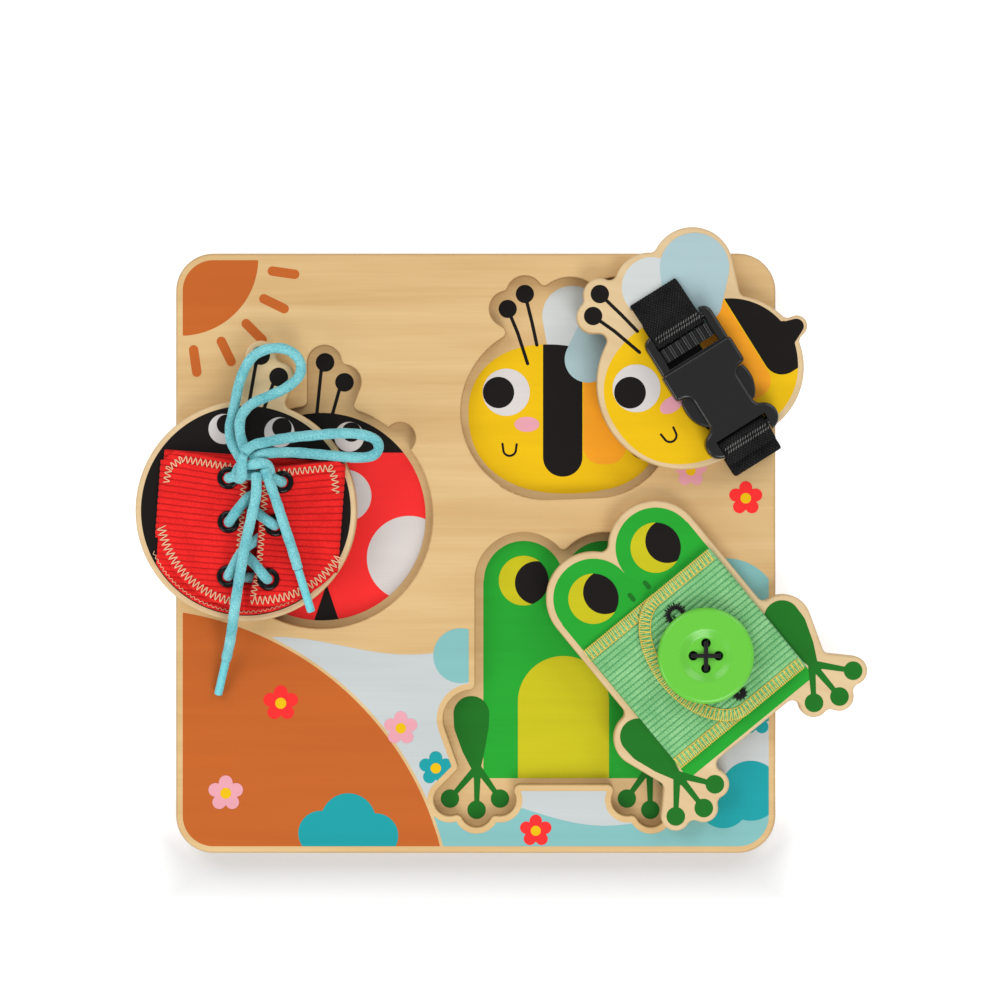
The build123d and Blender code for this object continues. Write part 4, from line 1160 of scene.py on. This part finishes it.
# %% Sew the vest
vest_back = add_vest("vest_back_cloth", *back_cloth())
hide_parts("vest_back")
for hand, shape in FLAPS.items():
    flap = add_vest(f"vest_{hand}_cloth", *flap_cloth(*shape))
    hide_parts(f"vest_{hand}_flap")
    print(hand, "flap faces:", len(flap.data.polygons))


# %% Vest stitches
def arc(centre, radius, low, high, count=80):
    """Points along a circle between two angles in degrees."""
    a = np.radians(np.linspace(low, high, count))
    return np.stack([centre[0] + radius * np.cos(a), centre[1] + radius * np.sin(a)], axis=1)


ZIGZAG_PITCH = 2.0
HEM_ANGLES = {-1: (-165, -93), 1: (-28, -91)}
for hand, (side, fold, centre, radius) in FLAPS.items():
    face = lambda x, y, side=side, fold=fold: flap_under(side, fold, x) + 1.6
    x = np.array([VEST_CENTRE + side * 3.4, fold - side * (FLAP_TOPS[side][2] + 3.0)])
    turn_y = flap_top(side, fold, x[1]) - 6.8
    corner = [(fold - side * 2.7, turn_y), (fold - side * 1.9, turn_y - 6.0)]
    top_guide = np.array([*zip(x, flap_top(side, fold, x) - 2.9), *corner])
    edge_guide = np.array([(VEST_CENTRE + side * off, y) for off, y in ((4.3, 15.4), (4.2, -22.0), (2.6, -33.4))])
    hem_guide = arc(centre, radius - 2.5, *HEM_ANGLES[side])
    guides = ((top_guide, 3.3), (edge_guide, 2.7), (hem_guide, 3.9))
    rows = [zigzag(guide, width, ZIGZAG_PITCH, face) for guide, width in guides]
    dress(f"vest_{hand}_zigzag", *join_parts(rows), "ladybird", "corduroy", THREADS["cream"])
    print(hand, "flap's zigzag rows:", len(rows))
back_guide = arc((0, 0), BACK_R - 1.2, -152, -40)
back_row = zigzag(back_guide, 1.0, 1.9, lambda x, y: 0.88 + 0 * x, 0.13)
dress("vest_back_zigzag", *back_row, "ladybird", "corduroy", THREADS["cream"])

# %% Eyelet crowns
CROWN_SIDES = 48
CROWN = np.array(
    [(2.45, 1.0), (2.4, 1.9), (2.6, 2.45), (3.05, 2.72), (3.55, 2.74), (4.05, 2.56), (4.4, 2.2), (4.5, 1.7), (4.3, 1.2)]
)
EYELETS = ((10.4, 12.5), (9.0, -4.8), (7.7, -26.2))


def eyelet_crown(side, fold, place):
    """A round-topped ring turned about its eyelet's axis, which leans with the flap. It hides the plain flange."""
    a = np.linspace(0, 2 * np.pi, CROWN_SIDES, endpoint=False)[:, None]
    lean = side * math.atan(flap_slope(side, fold))
    u, z = CROWN[:, 0] * np.cos(a), CROWN[:, 1] + 0 * a
    x = place[0] + u * math.cos(lean) + z * math.sin(lean)
    height = flap_under(side, fold, place[0]) - u * math.sin(lean) + z * math.cos(lean)
    points = np.stack([x, place[1] + CROWN[:, 0] * np.sin(a), height], axis=-1).reshape(-1, 3)
    return points, grid_faces(CROWN_SIDES + 1, len(CROWN), True) % len(points)


crowns = [
    eyelet_crown(side, fold, (VEST_CENTRE + side * off, y)) for side, fold, *_ in FLAPS.values() for off, y in EYELETS
]
dress("eyelet_crowns", *join_parts(crowns), "ladybird", "eyelet", EYELET_ENAMEL)
print("eyelet crowns:", len(crowns))

# %% [markdown]
# ### The webbing
#
# Each strap is a woven strip carried along its path: out of the plate, round a bar of the buckle and back on itself.
# The weave is a checker of short floats, and grey stitches hold the turned end down.


# %% Straps
STRAP_X, STRAP_W, STRAP_T = 25.6, 21.4, 1.4
STRAP_COLS = 129
DASHES, DASH_PITCH, DASH_LENGTH = 17, 1.15, 0.8
STRAPS = {
    "upper": (
        [(13.8, -7.15), (28.6, -7.15), (28.6, 1.5), (13.55, 6.75), (8.65, 6.75), (8.65, 1.85), (19.7, 1.85)],
        (39.0, 40.5),
    ),
    "lower": (
        [
            (-27.5, -7.15), (-49.8, -7.15), (-49.8, 2.0), (-41.1, 1.65), (-35.75, 1.65), (-35.75, 6.95), (-41.1, 6.9),
            (-45.6, 4.2),
        ],
        (50.4, 51.9),
    ),
}


def rounded_line(corners, reach, steps=9):
    """A line through corners, each replaced by a curve that starts and ends a reach away from it."""
    c = np.asarray(corners, float)
    here = c[1:-1]
    back, on = c[:-2] - here, c[2:] - here
    back_length, on_length = (np.linalg.norm(arm, axis=1)[:, None] for arm in (back, on))
    reach = np.minimum(reach, 0.48 * np.minimum(back_length, on_length))
    start, end = here + back / back_length * reach, here + on / on_length * reach
    t = np.linspace(0, 1, steps)[None, :, None]
    curve = (1 - t) ** 2 * start[:, None] + 2 * t * (1 - t) * here[:, None] + t**2 * end[:, None]
    return np.concatenate([c[:1], curve.reshape(-1, c.shape[1]), c[-1:]])


def strap_path(corners):
    """The strap's middle line as y and z, its distance along, and the direction square to it."""
    line, at = even_line(rounded_line([(0, y, z) for y, z in corners], 2.4), 0.24)
    run = np.gradient(line, axis=0)
    run /= np.linalg.norm(run, axis=1, keepdims=True)
    return line[:, 1:], at, np.stack([-run[:, 2], run[:, 1]], axis=1)


def woven_strip(path, at, square):
    """The strip: half its thickness to each side of the path, with the checker's bumps and thin selvedges."""
    w = np.linspace(-STRAP_W / 2, STRAP_W / 2, STRAP_COLS)[None, :]
    s = at[:, None]
    checker = np.cos(2 * np.pi * s / 1.7) * np.cos(2 * np.pi * w / 1.3 + 0.8 * np.sin(s / 1.9))
    soft = soft_edge(STRAP_W / 2 - np.abs(w), 0.7) * soft_edge(np.minimum(s, at[-1] - s), 0.5)
    half = 0.2 + (STRAP_T / 2 - 0.2 + 0.15 * checker) * soft
    x = STRAP_X + w + 0 * s
    y, z, ny, nz = (values[:, None] for values in (*path.T, *square.T))
    sides = [np.stack([x, y + ny * q, z + nz * q], axis=-1) for q in (half, -half)]
    # The checker's height also goes into the UV, so the finish paints shade between the floats.
    return *closed_sheet(*sides), height_uv(0.5 + 0.5 * checker)


def dash_rows(path, at, square, places):
    """Rows of short slanting stitches across the strap's face at places along it, with a small gap after each."""
    x = STRAP_X - 9.4 + DASH_PITCH * np.arange(DASHES)
    t = np.linspace(0, 1, 6)[None, :]
    lift = STRAP_T / 2 + 0.04 + 0.24 * np.sin(np.pi * t)
    slant = 0.45 * (2 * t - 1)
    rows = []
    for k, place in enumerate(places):
        y, z, ny, nz = (np.interp(place, at, values) for values in (*path.T, *square.T))
        across = x[:, None] + 0.5 * (k % 2) + DASH_LENGTH * t
        level = 0 * across
        rows.append(np.stack([across, y - ny * lift - nz * slant + level, z - nz * lift + ny * slant + level], axis=-1))
    return threads(np.concatenate(rows), 0.2)


# %% Lay the straps
for name, (corners, places) in STRAPS.items():
    path = strap_path(corners)
    points, faces, uv = woven_strip(*path)
    strip = dress(f"{name}_webbing", points, faces, "bee", "webbing", WEBBING_YARN, uv)
    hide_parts(f"{name}_strap")
    dress(f"{name}_webbing_stitches", *dash_rows(*path, places), "bee", "webbing", THREADS["grey"])
    print(name, "strap length, mm:", round(float(path[1][-1]), 1))


# %% [markdown]
# ### The knit
#
# A ribbed panel lies on the frog, and a flap of the same knit folds over it from the right, with a round free end. Ribs
# run across; along each rib the stitches make small bumps. A yellow overlock binds the cut edges, and black thread
# binds both ends of the buttonhole.

# %% Knit cloth
RIB, STITCH = 2.2, 1.35
KNIT_T = 1.6
KNIT_LEFT, KNIT_RIGHT, KNIT_LOW, KNIT_HIGH = -32.0, 31.0, -74.0, -13.6
KNIT_MID, KNIT_HALF = (KNIT_LOW + KNIT_HIGH) / 2, (KNIT_HIGH - KNIT_LOW) / 2
PANEL_ROWS, PANEL_COLS = 262, 188


def knit_stitches(x, y, power):
    """Ribs across y, raised to a power, and the stitches on them: waves along x that lean to both sides of a crest."""
    y = y + 0.1 * np.sin(2 * np.pi * x / STITCH)
    lean = 2.2 * np.abs(np.sin(np.pi * y / RIB))
    return ribs(y, RIB, power), np.cos(2 * np.pi * x / STITCH + lean)


def knit_sheet(x, y, edge, low):
    """The face with its ribs and stitches, and the back, rounded off together towards the edges."""
    soft = soft_edge(edge, 0.7)
    rib, stitch = knit_stitches(x, y, 0.9)
    relief = 0.42 * rib + 0.09 * rib * stitch
    top = np.stack([x, y, low + 0.3 + (KNIT_T - 0.72 + relief) * soft], axis=-1)
    return top, np.stack([x, y, low + 0.02 + 0.25 * (1 - soft)], axis=-1)


def knit_height(x, y, inside):
    """Height in the weave, which sets the painted shade in the grooves: the ribs, with a painted highlight on the
    stitch at each bump. Inside is the way in from a bound edge, where the overlock presses the ribs flat and the
    painted shade gives way."""
    rib, stitch = knit_stitches(x, y, 1.0)
    return np.maximum(rib * (0.8 + 0.2 * stitch), 0.7 * np.clip((5.4 - inside) / 0.8, 0, 1))


def from_ends(y):
    """How far a point is from the knit's upper or lower edge."""
    return np.minimum(y - KNIT_LOW, KNIT_HIGH - y)


# %% Knit panel
y = np.linspace(KNIT_LOW, KNIT_HIGH, PANEL_ROWS)[:, None] + np.zeros((1, PANEL_COLS))
x = np.linspace(KNIT_LEFT, KNIT_RIGHT, PANEL_COLS)[None, :] + np.zeros((PANEL_ROWS, 1))
panel_edge = np.minimum(from_ends(y), np.minimum(x - KNIT_LEFT, KNIT_RIGHT - x))
points, faces = closed_sheet(*knit_sheet(x, y, panel_edge, 0.0))
uv = height_uv(knit_height(x, y, from_ends(y)))
knit_panel = dress("knit_panel_cloth", points, faces, "frog", "knit", KNIT_YARN, uv)
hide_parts("knit_panel")
print("knit panel faces:", len(knit_panel.data.polygons))

# %% Knit flap
SLIT_X, SLIT_MID, SLIT_HALF = 4.0, -45.2, 20.5
FREE_X, FREE_REACH = 3.0, 19.7
FLAP_LOW = 1.75
KNIT_FOLD_SHARE = 0.7
LEFT_COLS, RIGHT_COLS = 70, 90
row_y = np.linspace(KNIT_LOW, KNIT_HIGH, 280)[:, None]
free_end = FREE_X - FREE_REACH * np.sqrt(np.maximum(1 - ((row_y - KNIT_MID) / KNIT_HALF) ** 2, 0))
slit = 3.1 * np.maximum(1 - ((row_y - SLIT_MID) / SLIT_HALF) ** 2, 0) ** 1.3


def flap_part(start, stop, columns):
    """A grid of the flap between two lines: its face, its back and its height in the weave. The free end is half an
    ellipse, and the slit is widest under the button; both round the cloth off."""
    x = start + (stop - start) * np.linspace(0, 1, columns)[None, :]
    y = row_y + 0 * x
    inside = np.minimum(from_ends(y), x - free_end)
    cut = np.where(slit > 0.1, np.abs(x - SLIT_X) - slit, KNIT_HALF)
    return *knit_sheet(x, y, np.minimum(cut, inside), FLAP_LOW), knit_height(x, y, inside)


left_top, left_bottom, left_height = flap_part(free_end, SLIT_X - slit, LEFT_COLS)
top, bottom, height = flap_part(SLIT_X + slit, KNIT_RIGHT + 0 * slit, RIGHT_COLS)
bend = np.linspace(0, 1, FOLD_COLS + 1)[None, 1:]
turn = np.minimum(bend / KNIT_FOLD_SHARE, 1) * np.pi / 2
drop = 1.7 * np.clip((bend - KNIT_FOLD_SHARE) / (1 - KNIT_FOLD_SHARE), 0, 1)
level = 0 * row_y + 0 * bend
fold_z = FLAP_LOW + (top[:, -1:, 2] - FLAP_LOW) * np.cos(turn) - drop
fold_top = np.stack([KNIT_RIGHT + 1.4 * np.sin(turn) + level, row_y + level, fold_z], axis=-1)
fold_bottom = np.stack([KNIT_RIGHT + 0.05 + level, row_y + level, FLAP_LOW + 0.02 - 1.72 * bend + level], axis=-1)
fold_height = knit_height(KNIT_RIGHT + bend, row_y, from_ends(row_y))
right = closed_sheet(np.concatenate([top, fold_top], axis=1), np.concatenate([bottom, fold_bottom], axis=1))
points, faces = join_parts([closed_sheet(left_top, left_bottom), right])
uv = np.concatenate([height_uv(left_height), height_uv(np.concatenate([height, fold_height], axis=1))])
knit_flap = dress("knit_flap_cloth", points, faces, "frog", "knit", KNIT_YARN, uv)
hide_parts("knit_flap")
print("knit flap faces:", len(knit_flap.data.polygons))

# %% Overlock
BAR_PITCH, BAR_R = 0.95, 0.18


def overlock(guide, width, low, high):
    """Threads from the cut edge inwards, leaning to one side and the other in turn, and a line along each border.
    The guide runs with the cloth on its left; low is the edge's height, high the face's."""
    line, _ = even_line(np.column_stack([guide, np.zeros(len(guide))]), BAR_PITCH)
    run = np.gradient(line[:, :2], axis=0)
    run /= np.linalg.norm(run, axis=1, keepdims=True)
    inward = np.stack([-run[:, 1], run[:, 0]], axis=1)
    t = np.linspace(-0.05, 1, 8)
    lean = np.where(np.arange(len(line)) % 2 == 0, 0.6, -0.15)[:, None, None] * run[:, None] * t[None, :, None]
    flat = line[:, None, :2] + inward[:, None] * (t * width)[None, :, None] + lean
    height = low + (high - low) * soft_edge(t * width + 0.3, 0.9) + 0.12 * np.sin(np.pi * np.clip(t, 0, 1))
    height = np.broadcast_to(height[None, :, None], (*flat.shape[:2], 1))
    borders = [
        np.column_stack([line[:, :2] + inward * off, np.full(len(line), z)])
        for off, z in ((0.15, (low + high) / 2 + 0.25), (width * 0.97, high + 0.12))
    ]
    return threads(np.concatenate([flat, height], axis=2), BAR_R), threads(np.stack(borders), BAR_R)


# %% Bind the knit
PANEL_BAND = (4.8, 0.6, 1.66)
FLAP_BAND = (4.6, FLAP_LOW + 0.5, FLAP_LOW + 1.66)
heading = np.radians(np.linspace(90, 270, 90))
round_guide = np.stack([FREE_X + FREE_REACH * np.cos(heading), KNIT_MID + KNIT_HALF * np.sin(heading)], axis=1)
bands = [
    overlock(np.array([(FREE_X, KNIT_HIGH), (KNIT_LEFT, KNIT_HIGH)]), *PANEL_BAND),
    overlock(np.array([(KNIT_LEFT, KNIT_LOW), (FREE_X, KNIT_LOW)]), *PANEL_BAND),
    overlock(np.concatenate([[(KNIT_RIGHT, KNIT_HIGH)], round_guide, [(KNIT_RIGHT, KNIT_LOW)]]), *FLAP_BAND),
]
for label, rows, colour in zip(("bars", "borders"), zip(*bands), ("yellow", "ochre")):
    points, faces = join_parts(rows)
    dress("knit_overlock_" + label, points, faces, "frog", "knit", THREADS[colour])
    print("overlock", label, "faces:", len(faces))


# %% Buttonhole
SPOKES = 19


def buttonhole_end(middle, heading, inner):
    """Stitches fanned round one end of the slit, from a thick inner ring outwards, every other one longer."""
    a = np.radians(heading + np.linspace(-130, 130, SPOKES))[:, None]
    r = inner + np.linspace(0, 1, 5)[None, :] * np.where(np.arange(SPOKES) % 2, 2.3, 1.7)[:, None]
    z = FLAP_LOW + 1.72 + 0.16 * np.sin(np.linspace(0, np.pi, 5))[None, :] + 0 * a
    spokes = threads(np.stack([middle[0] + r * np.cos(a), middle[1] + r * np.sin(a), z], axis=-1), 0.27)
    z = np.full((SPOKES, 1), FLAP_LOW + 1.85)
    rings = [np.hstack([middle[0] + q * np.cos(a), middle[1] + q * np.sin(a), z]) for q in (inner, inner + 0.6)]
    return join_parts([spokes, threads(np.stack(rings), 0.42)])


ends = join_parts([buttonhole_end((5.2, -25.4), 90, 2.5), buttonhole_end((5.0, -65.4), -90, 0.9)])
dress("buttonhole_thread", *ends, "frog", "knit", THREADS["black"])
print("buttonhole faces:", len(ends[1]))

# %% End
print("scene built")
